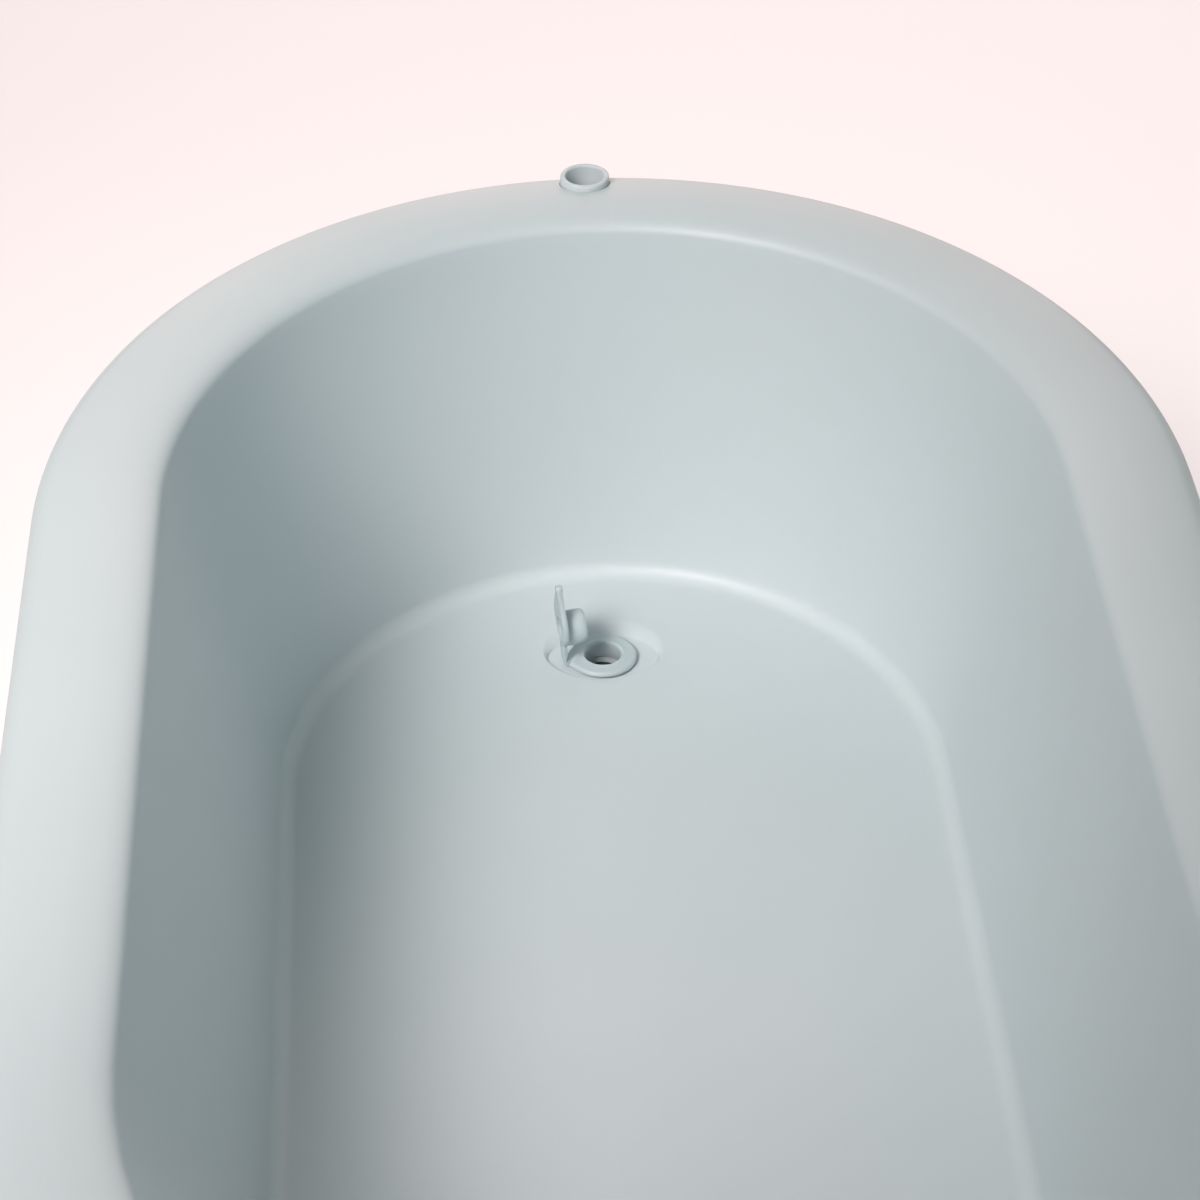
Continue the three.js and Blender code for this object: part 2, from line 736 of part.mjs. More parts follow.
// Colours and finishes
const tubPlastic = { color: 0xc3ced1, roughness: 0.45, metalness: 0 };
const plugSilicone = { color: 0xb4c2c5, roughness: 0.5, metalness: 0 };
const hosePlastic = { color: 0xc9d2d4, roughness: 0.5, metalness: 0 };
const padRubber = { color: 0x8f9ca1, roughness: 0.8, metalness: 0 };
const gasketRubber = { color: 0x3c4346, roughness: 0.7, metalness: 0 };
const bandSteel = { color: 0xb8bcc0, roughness: 0.3, metalness: 1 };

function piece(name, geometry, finish) {
  const mesh = new THREE.Mesh(geometry, new THREE.MeshStandardMaterial(finish));
  mesh.name = name;
  return mesh;
}

const group = new THREE.Group();
group.add(piece('tub_shell', tubShell(), tubPlastic));

for (const foot of feet) {
  const pad = piece(foot.name, footPad(), padRubber);
  pad.position.set(foot.x, foot.y, 0);
  pad.rotation.z = foot.turn;
  group.add(pad);
}

const drain = new THREE.Group();
drain.position.set(0, drainY, floorHeight);
drain.add(piece('drain_gasket', gasket(), gasketRubber));
drain.add(piece('drain_elbow', drainElbow(), tubPlastic));
drain.add(piece('drain_nut', drainNut(), tubPlastic));
group.add(drain);

const plug = new THREE.Group();
plug.rotation.z = plugYaw;
plug.add(piece('drain_plug_ring', plugRing(), plugSilicone));
drain.add(plug);

const strapFrame = new THREE.Group();
strapFrame.position.set(-hingeReach, 0, hingeAboveFloor);
strapFrame.add(piece('drain_plug_strap', plugStrap(), plugSilicone));
plug.add(strapFrame);

const capFrame = new THREE.Group();
capFrame.position.copy(strapFrame.position);
capFrame.rotation.y = -plugLean;
capFrame.add(piece('drain_plug_cap', plugCap(), plugSilicone));
plug.add(capFrame);

group.add(piece('drain_hose', drainHose(), hosePlastic));

const hoseEndPiece = piece('hose_end_sleeve', hoseEnd(), tubPlastic);
hoseEndPiece.position.set(0, sleeveY, 0);
group.add(hoseEndPiece);

const lowerClamp = piece('hose_clamp_lower', hoseClamp(), bandSteel);
lowerClamp.position.set(0, drainY + shoulderEnd + hoseSpigotLength / 2, hoseLevel);
lowerClamp.rotation.x = -Math.PI / 2;
group.add(lowerClamp);

const upperClamp = piece('hose_clamp_upper', hoseClamp(), bandSteel);
upperClamp.position.set(0, sleeveY, hoseTop - hoseSpigotLength / 2);
group.add(upperClamp);

export default group;
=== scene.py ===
# %% [markdown]
# # A baby bathtub
# The scene is built round the imported model, which fixes the size and place of every piece. Each
# piece below is made finer than its solid, in the same place, and all but the plug's ring and the
# hose then ride on the same body.

# %% Start
import json
import math

import bmesh
import bpy
import numpy as np
from mathutils import Matrix, Vector
from mathutils.bvhtree import BVHTree

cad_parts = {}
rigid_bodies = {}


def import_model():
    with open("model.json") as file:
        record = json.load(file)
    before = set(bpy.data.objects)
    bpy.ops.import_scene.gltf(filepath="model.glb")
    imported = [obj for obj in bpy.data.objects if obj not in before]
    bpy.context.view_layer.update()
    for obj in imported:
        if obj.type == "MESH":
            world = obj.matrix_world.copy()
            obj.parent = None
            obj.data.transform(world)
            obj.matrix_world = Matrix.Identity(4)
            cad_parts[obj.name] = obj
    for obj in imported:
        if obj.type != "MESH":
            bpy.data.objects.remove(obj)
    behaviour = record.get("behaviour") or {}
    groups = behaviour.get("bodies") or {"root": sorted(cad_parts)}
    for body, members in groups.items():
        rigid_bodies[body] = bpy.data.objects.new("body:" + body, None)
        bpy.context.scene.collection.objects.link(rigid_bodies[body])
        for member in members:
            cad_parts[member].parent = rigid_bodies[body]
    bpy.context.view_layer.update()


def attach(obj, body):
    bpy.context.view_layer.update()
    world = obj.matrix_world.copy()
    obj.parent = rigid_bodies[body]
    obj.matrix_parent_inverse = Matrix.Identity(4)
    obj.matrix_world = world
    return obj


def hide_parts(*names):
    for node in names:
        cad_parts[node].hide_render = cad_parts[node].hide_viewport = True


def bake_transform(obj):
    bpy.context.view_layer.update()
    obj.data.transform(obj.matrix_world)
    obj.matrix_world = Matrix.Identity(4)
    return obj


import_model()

MM = 0.001

# %% [markdown]
# ## Camera
# The photograph looks down along the tub from beyond its head end, with a long lens. The place and
# lens come from fitting the rim, the crease and the floor's outline to the picture.

# %% Camera
camera_data = bpy.data.cameras.new("camera")
camera_data.sensor_width = 36.0
camera_data.lens = 104.4
camera_data.clip_end = 50.0
camera = bpy.data.objects.new("camera", camera_data)
bpy.context.scene.collection.objects.link(camera)
camera_right = Vector((0.99842198, -0.05549594, -0.00858746))
camera_up = Vector((0.03977416, 0.59088731, 0.80577305))
camera_back = Vector((-0.03964291, -0.80484309, 0.59216218))
camera_turn = Matrix((camera_right, camera_up, camera_back)).transposed()
camera.matrix_world = (
    Matrix.Translation(Vector((-67.55, -1056.28, 1074.0)) * MM) @ camera_turn.to_4x4()
)
bpy.context.scene.camera = camera
print("lens", camera_data.lens)


# %% [markdown]
# ## Helpers for finishes
# Colours are written as the hex values a person reads from a picture, and one function turns them
# into the linear values that shaders work in. One more adds a node, sets it and links it.

# %% Helpers for finishes
def linear(hex_colour):
    parts = [int(hex_colour[i:i + 2], 16) / 255 for i in (1, 3, 5)]
    parts = [c / 12.92 if c <= 0.04045 else ((c + 0.055) / 1.055) ** 2.4 for c in parts]
    return (*parts, 1.0)


def add_node(tree, kind, *values, **named):
    """Adds a node. values fill its inputs in order. Names in small letters are settings and the
    rest are inputs. A value is a number, a node (its first output) or a (node, output) pair."""
    node = tree.nodes.new(kind)
    for name, value in named.items():
        if name.islower():
            setattr(node, name, value)
    filled = list(zip(node.inputs, values))
    filled += [(node.inputs[name.replace("_", " ")], value) for name, value in named.items()
               if not name.islower()]
    for socket, value in filled:
        if isinstance(value, bpy.types.Node):
            value = (value, next(out.name for out in value.outputs if out.enabled))
        if isinstance(value, tuple) and isinstance(value[0], bpy.types.Node):
            tree.links.new(value[0].outputs[value[1]], socket)
        else:
            socket.default_value = value
    return node


def moulded(name, light, dark, roughness, ior, grain_mm, grain_height_mm, height=None):
    """A moulded plastic or rubber: nearly even colour, fine grain, soft gloss."""
    material = bpy.data.materials.new(name)
    material.use_nodes = True
    tree = material.node_tree
    tree.nodes.clear()
    place = (add_node(tree, "ShaderNodeTexCoord"), "Object")
    cloud = add_node(tree, "ShaderNodeTexNoise", Vector=place, Scale=9.0, Detail=2.0)
    colour = add_node(tree, "ShaderNodeMix", data_type="RGBA", Factor=cloud, A=linear(light),
                      B=linear(dark))
    polish = add_node(tree, "ShaderNodeMapRange", Value=cloud, From_Min=0.3, From_Max=0.7,
                      To_Min=roughness - 0.03, To_Max=roughness + 0.03)
    grain = add_node(tree, "ShaderNodeTexNoise", Vector=place, Scale=1.0 / (grain_mm * MM),
                     Detail=2.0, Roughness=0.6)
    bump = add_node(tree, "ShaderNodeBump", Distance=grain_height_mm * MM, Height=grain)
    if height is not None:
        bump = height(tree, place, bump)
    shader = add_node(tree, "ShaderNodeBsdfPrincipled", IOR=ior, Base_Color=colour,
                      Roughness=polish, Normal=bump)
    add_node(tree, "ShaderNodeOutputMaterial", Surface=shader)
    return material


# %% [markdown]
# ## The tub's plastic
# Injection-moulded polypropylene in a pale grey-blue, with a fine matt grain from the mould. The
# surface shows a broad soft sheen and no sharp reflections. Where thick parts are moulded behind
# the wall, the plastic has drawn in as it cooled: two faint ovals over the feet and three short
# marks over the ribs behind the rim. Bump gives these, as they are at most 0.1 mm deep.

# %% The tub's plastic
# Sizes of the marks in metres: the feet's oval lines, and the ribs' spacing, width and reach
FOOT_MARK_PLACE, FOOT_MARK_HALVES, FOOT_MARK_DEGREES = (0.108, 0.2414, 0.0), (0.0235, 0.0355), 15
RIB_SPACING, RIB_MARK_HALF, RIB_MARKS_HALF = 0.012, 0.0022, 0.018
RIB_MARK_ENDS = ((0.384, 0.392), (0.409, 0.403))


def sink_marks(tree, place, bump):
    # How far a point is from each front foot's oval line, in shares of the oval's size
    parts = add_node(tree, "ShaderNodeSeparateXYZ", place)
    across = add_node(tree, "ShaderNodeMath", parts, operation="ABSOLUTE")
    one_side = add_node(tree, "ShaderNodeCombineXYZ", across, (parts, "Y"))
    in_foot = add_node(tree, "ShaderNodeMapping", one_side, vector_type="TEXTURE",
                       Location=FOOT_MARK_PLACE, Scale=(*FOOT_MARK_HALVES, 1.0),
                       Rotation=(0.0, 0.0, math.radians(FOOT_MARK_DEGREES)))
    size = add_node(tree, "ShaderNodeVectorMath", in_foot, operation="LENGTH")
    off_line = add_node(tree, "ShaderNodeMath", (size, "Value"), 1.0, operation="SUBTRACT")
    from_line = add_node(tree, "ShaderNodeMath", off_line, operation="ABSOLUTE")
    oval = add_node(tree, "ShaderNodeMapRange", from_line, interpolation_type="SMOOTHERSTEP",
                    From_Max=0.16, To_Min=1.0, To_Max=0.0)
    foot_bump = add_node(tree, "ShaderNodeBump", invert=True, Distance=0.06 * MM, Height=oval,
                         Normal=bump)

    # Three ribs behind the rim, seen between the crease and the hose end
    from_rib = add_node(tree, "ShaderNodeMath", parts, RIB_SPACING / 2, operation="PINGPONG")
    kept = add_node(tree, "ShaderNodeMapRange", from_rib, interpolation_type="SMOOTHERSTEP",
                    From_Max=RIB_MARK_HALF, To_Min=1.0, To_Max=0.0)
    among = add_node(tree, "ShaderNodeMath", across, RIB_MARKS_HALF, operation="LESS_THAN")
    ends = [add_node(tree, "ShaderNodeMapRange", (parts, "Y"), From_Min=bare, From_Max=full)
            for bare, full in RIB_MARK_ENDS]
    for share in (among, *ends):
        kept = add_node(tree, "ShaderNodeMath", kept, share, operation="MULTIPLY")
    return add_node(tree, "ShaderNodeBump", invert=True, Distance=0.1 * MM, Height=kept,
                    Normal=foot_bump)


tub_plastic = moulded("Moulded polypropylene", "#c6d0d2", "#c2cccf", 0.46, 1.49, 0.35, 0.006,
                      sink_marks)
fitting_plastic = moulded("Moulded polypropylene fittings", "#c9d2d5", "#c4cdd0", 0.44, 1.49,
                          0.35, 0.004)
print(tub_plastic.name, len(tub_plastic.node_tree.nodes), "nodes")

# %% [markdown]
# ## The other finishes
# The plug is satin silicone, a little darker and softer than the tub. The hose is flexible
# polyethylene, the pads and the gasket are rubber, and the bands are bright spring steel.

# %% The other finishes
plug_silicone = moulded("Moulded silicone", "#b7c4c7", "#b2c0c3", 0.45, 1.41, 0.4, 0.004)
hose_plastic = moulded("Extruded polyethylene", "#cbd3d5", "#c6cfd1", 0.4, 1.51, 0.5, 0.004)
pad_rubber = moulded("Thermoplastic rubber", "#929fa4", "#8c999e", 0.75, 1.5, 0.5, 0.02)
gasket_rubber = moulded("Moulded nitrile rubber", "#3f4649", "#393f42", 0.6, 1.52, 0.4, 0.01)


def spring_steel():
    material = bpy.data.materials.new("Bright spring steel")
    material.use_nodes = True
    tree = material.node_tree
    tree.nodes.clear()
    place = (add_node(tree, "ShaderNodeTexCoord"), "Object")
    streaks = add_node(tree, "ShaderNodeMapping", place, Scale=(900.0, 900.0, 9000.0))
    drawn = add_node(tree, "ShaderNodeTexNoise", Vector=streaks, Scale=1.0, Detail=3.0)
    polish = add_node(tree, "ShaderNodeMapRange", drawn, To_Min=0.22, To_Max=0.38)
    shader = add_node(tree, "ShaderNodeBsdfPrincipled", Base_Color=linear("#c4c6c8"),
                      Metallic=1.0, Roughness=polish)
    add_node(tree, "ShaderNodeOutputMaterial", Surface=shader)
    return material


band_steel = spring_steel()
print("finishes", [m.name for m in bpy.data.materials])


# %% [markdown]
# ## Helpers for shapes
# Most pieces are rings of points skinned into a surface: turned pieces, the tub's wall, the pads.
# One function makes such a mesh, and one puts a finished mesh into the scene.

# %% Helpers for shapes
def grid_mesh(name, rings, closed=False, caps=True):
    """Skins rings of points, each a closed loop. closed joins the last ring to the first."""
    count = len(rings[0])
    points = [tuple(p) for ring in rings for p in ring]
    faces = []
    last = len(rings) if closed else len(rings) - 1
    for j in range(last):
        low, high = j * count, ((j + 1) % len(rings)) * count
        for i in range(count):
            k = (i + 1) % count
            faces.append((low + i, high + i, high + k, low + k))
    if caps and not closed:
        faces.append(tuple(range(count)))
        faces.append(tuple(reversed(range((len(rings) - 1) * count, len(rings) * count))))
    mesh = bpy.data.meshes.new(name)
    mesh.from_pydata(points, [], faces)
    mesh.validate()
    return mesh


def outward(mesh):
    """Merges doubles and turns all faces outwards."""
    work = bmesh.new()
    work.from_mesh(mesh)
    bmesh.ops.remove_doubles(work, verts=work.verts, dist=1e-7)
    bmesh.ops.recalc_face_normals(work, faces=work.faces)
    work.to_mesh(mesh)
    work.free()
    return mesh


def smooth(mesh, degrees=35):
    """Shades the mesh smooth, with an edge kept sharp where it turns by more than degrees."""
    for polygon in mesh.polygons:
        polygon.use_smooth = True
    mesh.set_sharp_from_angle(angle=math.radians(degrees))


def add_piece(name, mesh, material, degrees=35):
    mesh.materials.clear()
    mesh.materials.append(material)
    smooth(mesh, degrees)
    piece = bpy.data.objects.new(name, mesh)
    bpy.context.scene.collection.objects.link(piece)
    return piece


def finish_piece(piece, body, slot, *nodes):
    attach(piece, body)
    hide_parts(*nodes)
    print(piece.name, len(piece.data.polygons), "faces")


def modified(piece):
    """The piece's mesh with its modifiers worked out, and the modifiers removed."""
    bpy.context.view_layer.update()
    graph = bpy.context.evaluated_depsgraph_get()
    mesh = bpy.data.meshes.new_from_object(piece.evaluated_get(graph))
    piece.modifiers.clear()
    piece.data = mesh
    return piece


def turned(profile, centre, facets=96):
    """Rings of a turned piece from a closed profile of (radius, height) in millimetres."""
    angles = [2 * math.pi * i / facets for i in range(facets)]
    return [[Vector((radius * math.cos(a), radius * math.sin(a), height)) * MM
             + Vector(centre) * MM for a in angles] for radius, height in profile]


def eased(profile, radius, steps=4):
    """Rounds the corners of a closed profile with arcs near the given radius."""
    points = [Vector(p) for p in profile]
    out = []
    for i, here in enumerate(points):
        before, after = points[i - 1], points[(i + 1) % len(points)]
        to_before, to_after = before - here, after - here
        if here.x == 0 or min(to_before.length, to_after.length) < 1e-6:
            out.append(tuple(here))
            continue
        reach = min(radius, 0.45 * to_before.length, 0.45 * to_after.length)
        start = here + to_before.normalized() * reach
        end = here + to_after.normalized() * reach
        for k in range(steps + 1):
            t = k / steps
            out.append(tuple(start * (1 - t) ** 2 + here * 2 * t * (1 - t) + end * t ** 2))
    return out


# %% [markdown]
# ## The tub
# One thin wall: a flat floor, a fillet, sloping sides, a soft crease, a domed rim, an outer roll
# and a short skirt. Its plan is two half ellipses joined by straight sides. The same section
# formula gives both faces of the wall. All rings share the same columns, from the drain hole's
# edge out to the skirt and back beneath, so the whole wall is one closed sheet of quads.

# %% The tub's sizes
BATH_LENGTH, BATH_WIDTH, FLOOR_HEIGHT, DEPTH, WALL = 880.0, 500.0, 50.0, 186.1, 3.0
RIM_WIDTH, CREST_REACH, DOME_RADIUS = 56.0, 22.1, 71.3
ROLL_RADIUS, SKIRT_DROP, WALL_EASE, RIM_EASE = 10.4, 10.0, 5.0, 13.0
CREASE_END_REACH, FLOOR_HALF_WIDTH, FLOOR_END_REACH = 213.8, 154.0, 164.0
DRAIN_LEAN, HEAD_LEAN, FLOOR_FILLET, BACK_FILLET = 26.0, 142.4, 9.0, 60.0
CREASE_END = BATH_LENGTH / 2 - RIM_WIDTH
CREASE_HALF_WIDTH = BATH_WIDTH / 2 - RIM_WIDTH
CREASE_HEIGHT = FLOOR_HEIGHT + DEPTH
CREST_RISE = CREST_REACH ** 2 / (2 * DOME_RADIUS)
DRAIN_FROM_CREASE, SLEEVE_FROM_CREASE = 93.6, 37.7
DRAIN_Y = CREASE_END - DRAIN_FROM_CREASE
SLEEVE_Y = CREASE_END + SLEEVE_FROM_CREASE
END_COLUMNS, SIDE_COLUMNS = 120, 28


def rim_dome(reach):
    return CREST_RISE - (reach - CREST_REACH) ** 2 / (2 * DOME_RADIUS)


def outline(half_width, end_reach, drain_end, head_end):
    """Points, outward normals and angles of the plan, anticlockwise from the +X side."""
    places = []
    for start, centre, other in ((0.0, drain_end - end_reach, head_end + end_reach),
                                 (math.pi, head_end + end_reach, drain_end - end_reach)):
        for i in range(END_COLUMNS + 1):
            a = start + math.pi * i / END_COLUMNS
            normal = np.array([math.cos(a) / half_width, math.sin(a) / end_reach])
            places.append((half_width * math.cos(a), centre + end_reach * math.sin(a),
                           *(normal / np.linalg.norm(normal)), a))
        side = -1.0 if start == 0.0 else 1.0
        for i in range(1, SIDE_COLUMNS):
            y = centre + (other - centre) * i / SIDE_COLUMNS
            places.append((side * half_width, y, side, 0.0, start + math.pi))
    return np.array(places)


floor_line = outline(FLOOR_HALF_WIDTH, FLOOR_END_REACH, CREASE_END - DRAIN_LEAN,
                     HEAD_LEAN - CREASE_END)
crease_line = outline(CREASE_HALF_WIDTH, CREASE_END_REACH, CREASE_END, -CREASE_END)
print("columns", len(floor_line))


# %% The tub's section
def station(base, normal, lean, run, reach, height, out, down):
    """One ring of the wall: its front points and the way through the wall to its back."""
    rise = np.minimum(height / DEPTH, 1.0)
    slip = (run - normal * lean[:, None]) * np.reshape(rise, (-1, 1))
    plan = base + slip + normal * np.reshape(reach, (-1, 1))
    ones = np.ones(len(base))
    front = np.column_stack([plan, FLOOR_HEIGHT + height * ones])
    through = np.column_stack([normal * np.reshape(out * ones, (-1, 1)), -down * ones])
    return front, through


def tub_stations():
    floor_at, floor_normal = floor_line[:, :2], floor_line[:, 2:4]
    crease_at, crease_normal = crease_line[:, :2], crease_line[:, 2:4]
    run = crease_at - floor_at
    lean = (run * floor_normal).sum(1)
    tilt = np.arctan2(lean, DEPTH)
    head_share = np.maximum(0.0, -np.sin(floor_line[:, 4])) ** 2
    radius = FLOOR_FILLET + (BACK_FILLET - FLOOR_FILLET) * head_share
    stations = []

    # Fillet between the floor and the wall
    for t in np.linspace(0, 1, 17):
        turn = -math.pi / 2 + (math.pi / 2 - tilt) * t
        reach = -radius * (1 - np.sin(tilt)) / np.cos(tilt) + radius * np.cos(turn)
        height = radius * (1 + np.sin(turn))
        stations.append(station(floor_at, floor_normal, lean, run, reach, height,
                                np.cos(turn), -np.sin(turn)))

    # Sloping wall, from the fillet's top to the start of the crease
    crease_lean = (run * crease_normal).sum(1)
    wall_run = np.hypot(crease_lean, DEPTH)
    start_reach, start_height = -WALL_EASE * crease_lean / wall_run, -WALL_EASE * DEPTH / wall_run
    base = crease_at - (run - crease_normal * crease_lean[:, None])
    first, first_through = stations[-1]
    last, last_through = station(base, crease_normal, crease_lean, run, start_reach,
                                 DEPTH + start_height, DEPTH / wall_run, crease_lean / wall_run)
    for t in np.linspace(0, 1, 26)[1:-1]:
        through = first_through * (1 - t) + last_through * t
        through /= np.linalg.norm(through, axis=1)[:, None]
        stations.append((first * (1 - t) + last * t, through))

    # Eased crease
    end_height = rim_dome(RIM_EASE)
    end_slope = (CREST_REACH - RIM_EASE) / DOME_RADIUS
    corner_height = (end_height - end_slope * RIM_EASE) / (1 - end_slope * crease_lean / DEPTH)
    corner_reach = corner_height * crease_lean / DEPTH
    for t in np.linspace(0, 1, 13):
        middle = 2 * t * (1 - t)
        reach = start_reach * (1 - t) ** 2 + corner_reach * middle + RIM_EASE * t ** 2
        height = start_height * (1 - t) ** 2 + corner_height * middle + end_height * t ** 2
        along = (corner_reach - start_reach) * (1 - t) + (RIM_EASE - corner_reach) * t
        up = (corner_height - start_height) * (1 - t) + (end_height - corner_height) * t
        size = np.hypot(along, up)
        stations.append(station(base, crease_normal, crease_lean, run, reach, DEPTH + height,
                                up / size, along / size))

    # Domed top, outer roll and skirt
    def on_rim(reach, height, along, up):
        size = math.hypot(along, up)
        stations.append(station(base, crease_normal, crease_lean, run,
                                np.full(len(base), reach), DEPTH + height, up / size,
                                along / size))

    dome_end = RIM_WIDTH - ROLL_RADIUS
    for reach in np.linspace(RIM_EASE, dome_end, 18)[1:]:
        on_rim(reach, rim_dome(reach), DOME_RADIUS, CREST_REACH - reach)
    return stations, on_rim, dome_end


stations, on_rim, dome_end = tub_stations()
for turn in np.linspace(0, math.pi / 2, 13)[1:]:
    reach = dome_end + ROLL_RADIUS * math.sin(turn)
    slope = (CREST_REACH - reach) / DOME_RADIUS
    on_rim(reach, rim_dome(reach) - ROLL_RADIUS * (1 - math.cos(turn)), math.cos(turn),
           slope * math.cos(turn) - math.sin(turn))
skirt_top = rim_dome(RIM_WIDTH) - ROLL_RADIUS
for drop in (0.35, 0.7, 0.93):
    on_rim(RIM_WIDTH, skirt_top - SKIRT_DROP * drop, 0.0, -1.0)
print("rings on the front", len(stations))

# %% [markdown]
# ## The drain's place in the floor
# A shallow flat recess, an oval drawn out to the left and right for the plug's strap, runs out
# into the floor by a slope that is steep in front and long and soft behind. The rings go from the
# round hole to the oval and on to the floor's outline, so that no cut is needed and the gloss runs
# clean over the edge.

# %% The drain's place in the floor
RECESS_HALF_LENGTH, RECESS_HALF_WIDTH, RECESS_BACK, RECESS_DEPTH = 26.6, 17.85, 0.95, 2.4
DISH_HALF_LENGTH, DISH_HALF_WIDTH, DISH_BACK, DISH_RIGHT = 29.6, 24.1, 5.1, 0.6
HOLE_RADIUS, STUB_RADIUS, STUB_END, PAD_RADIUS, PAD_THICK = 10.8, 13.5, 13.0, 30.0, 2.6
columns_angle = np.arctan2(floor_line[:, 1] - DRAIN_Y, floor_line[:, 0])
circle = np.column_stack([np.cos(columns_angle), np.sin(columns_angle)])


def oval_about_drain(half_x, half_y, back, depth):
    """A ring on an oval whose middle lies behind the drain, one point for each column."""
    square = (circle[:, 0] / half_x) ** 2 + (circle[:, 1] / half_y) ** 2
    shift = circle[:, 1] * back / half_y ** 2
    radius = (shift + np.sqrt(shift ** 2 + square * (1 - (back / half_y) ** 2))) / square
    plan = circle * radius[:, None] + np.array([0.0, DRAIN_Y])
    return np.column_stack([plan, np.full(len(circle), FLOOR_HEIGHT - depth)])


def ring_mix(a, b, share):
    return a * (1 - share) + b * share


front = []
hole_edge = oval_about_drain(HOLE_RADIUS, HOLE_RADIUS, 0.0, RECESS_DEPTH)
recess_edge = oval_about_drain(RECESS_HALF_LENGTH, RECESS_HALF_WIDTH, RECESS_BACK,
                               RECESS_DEPTH)
dish_edge = oval_about_drain(DISH_HALF_LENGTH, DISH_HALF_WIDTH, DISH_BACK, 0.0)
dish_edge[:, 0] += DISH_RIGHT
for share in np.linspace(0, 1, 7):
    front.append(ring_mix(hole_edge, recess_edge, share))
for share in np.linspace(0, 1, 17)[1:]:
    ring = ring_mix(recess_edge, dish_edge, share)
    ring[:, 2] = FLOOR_HEIGHT - RECESS_DEPTH * (1 - share) ** 1.5
    front.append(ring)
for share in np.linspace(0, 1, 44)[1:-1] ** 1.25:
    front.append(ring_mix(dish_edge, stations[0][0], share))
front += [at for at, _ in stations]

# The skirt's rounded edge joins the two faces, and the back returns beneath to the hole
edge_at, edge_through = stations[-1]
lip = edge_at + edge_through * (WALL / 2)
for turn in np.linspace(0, math.pi, 9)[1:-1]:
    across = -math.cos(turn) * WALL / 2
    front.append(lip + edge_through * across - np.array([0, 0, math.sin(turn) * WALL * 0.25]))
back = [at + through * WALL for at, through in stations][::-1]
back_floor = back[-1]


def round_under_drain(radius, depth):
    plan = circle * radius + np.array([0.0, DRAIN_Y])
    return np.column_stack([plan, np.full(len(circle), FLOOR_HEIGHT - depth)])


pad_bottom = RECESS_DEPTH + PAD_THICK
for share in np.linspace(0, 1, 14)[1:-1]:
    back.append(ring_mix(back_floor, round_under_drain(PAD_RADIUS + 2, WALL), share))
for radius, depth in ((PAD_RADIUS + 1.2, WALL), (PAD_RADIUS + 0.3, WALL + 0.3),
                      (PAD_RADIUS, WALL + 1.0), (PAD_RADIUS, pad_bottom - 0.5),
                      (PAD_RADIUS - 0.5, pad_bottom), (STUB_RADIUS + 1.0, pad_bottom),
                      (STUB_RADIUS + 0.2, pad_bottom + 0.3), (STUB_RADIUS, pad_bottom + 1.0)):
    back.append(round_under_drain(radius, depth))

# Outlet thread, as plain rings
THREAD_TURNS, THREAD_PITCH = 3, 2.0
for k in range(THREAD_TURNS):
    top = pad_bottom + 1.2 + k * THREAD_PITCH
    for radius, step in ((0.0, 0.0), (-0.55, 0.5), (-0.55, 1.0), (0.0, 1.5)):
        back.append(round_under_drain(STUB_RADIUS + radius, top + step))
for radius, depth in ((STUB_RADIUS, STUB_END - 0.4), (STUB_RADIUS - 0.4, STUB_END),
                      (HOLE_RADIUS + 0.4, STUB_END), (HOLE_RADIUS, STUB_END - 0.4),
                      (HOLE_RADIUS, pad_bottom + 4), (HOLE_RADIUS, pad_bottom),
                      (HOLE_RADIUS, RECESS_DEPTH + 0.3)):
    back.append(round_under_drain(radius, depth))
rings = [[Vector(p) * MM for p in ring] for ring in [r.tolist() for r in front + back]]
tub_mesh = grid_mesh("tub", rings, closed=True)
print("tub wall", len(tub_mesh.polygons), "faces")

# %% [markdown]
# ## What is moulded behind the wall
# Four hollow oval feet, a boss round the hose end's hole and three short ribs. They are made as
# simple closed solids whose tops follow the wall's own back face, found by casting rays up at it,
# and are joined on with a Boolean, which is how a pattern maker adds bosses to a plain shell.

# %% What is moulded behind the wall
work = bmesh.new()
work.from_mesh(tub_mesh)
bmesh.ops.recalc_face_normals(work, faces=work.faces)
work.to_mesh(tub_mesh)
wall_tree = BVHTree.FromBMesh(work)
work.free()
tub = add_piece("tub", tub_mesh, tub_plastic)


def back_height(x, y, start):
    hit = wall_tree.ray_cast(Vector((x * MM, y * MM, start * MM)), Vector((0, 0, 1)))
    return hit[0].z / MM if hit[0] is not None else CREASE_HEIGHT


def standing(name, loops, bottoms, sink, start):
    """A closed ring or bar whose top follows the wall's back face. loops are plan outlines."""
    rings = []
    for loop, bottom in zip(loops, bottoms):
        rings.append([Vector((x, y, bottom)) * MM for x, y in loop])
    tops = [[Vector((x, y, back_height(x, y, start) + sink)) * MM for x, y in loop]
            for loop in (loops[-1], loops[0])]
    return outward(grid_mesh(name, rings + tops, closed=True))


def oval_plan(half_x, half_y, centre, turn, facets=72):
    loop = []
    for i in range(facets):
        a = 2 * math.pi * i / facets
        x, y = half_x * math.cos(a), half_y * math.sin(a)
        loop.append((centre[0] + x * math.cos(turn) - y * math.sin(turn),
                     centre[1] + x * math.sin(turn) + y * math.cos(turn)))
    return loop


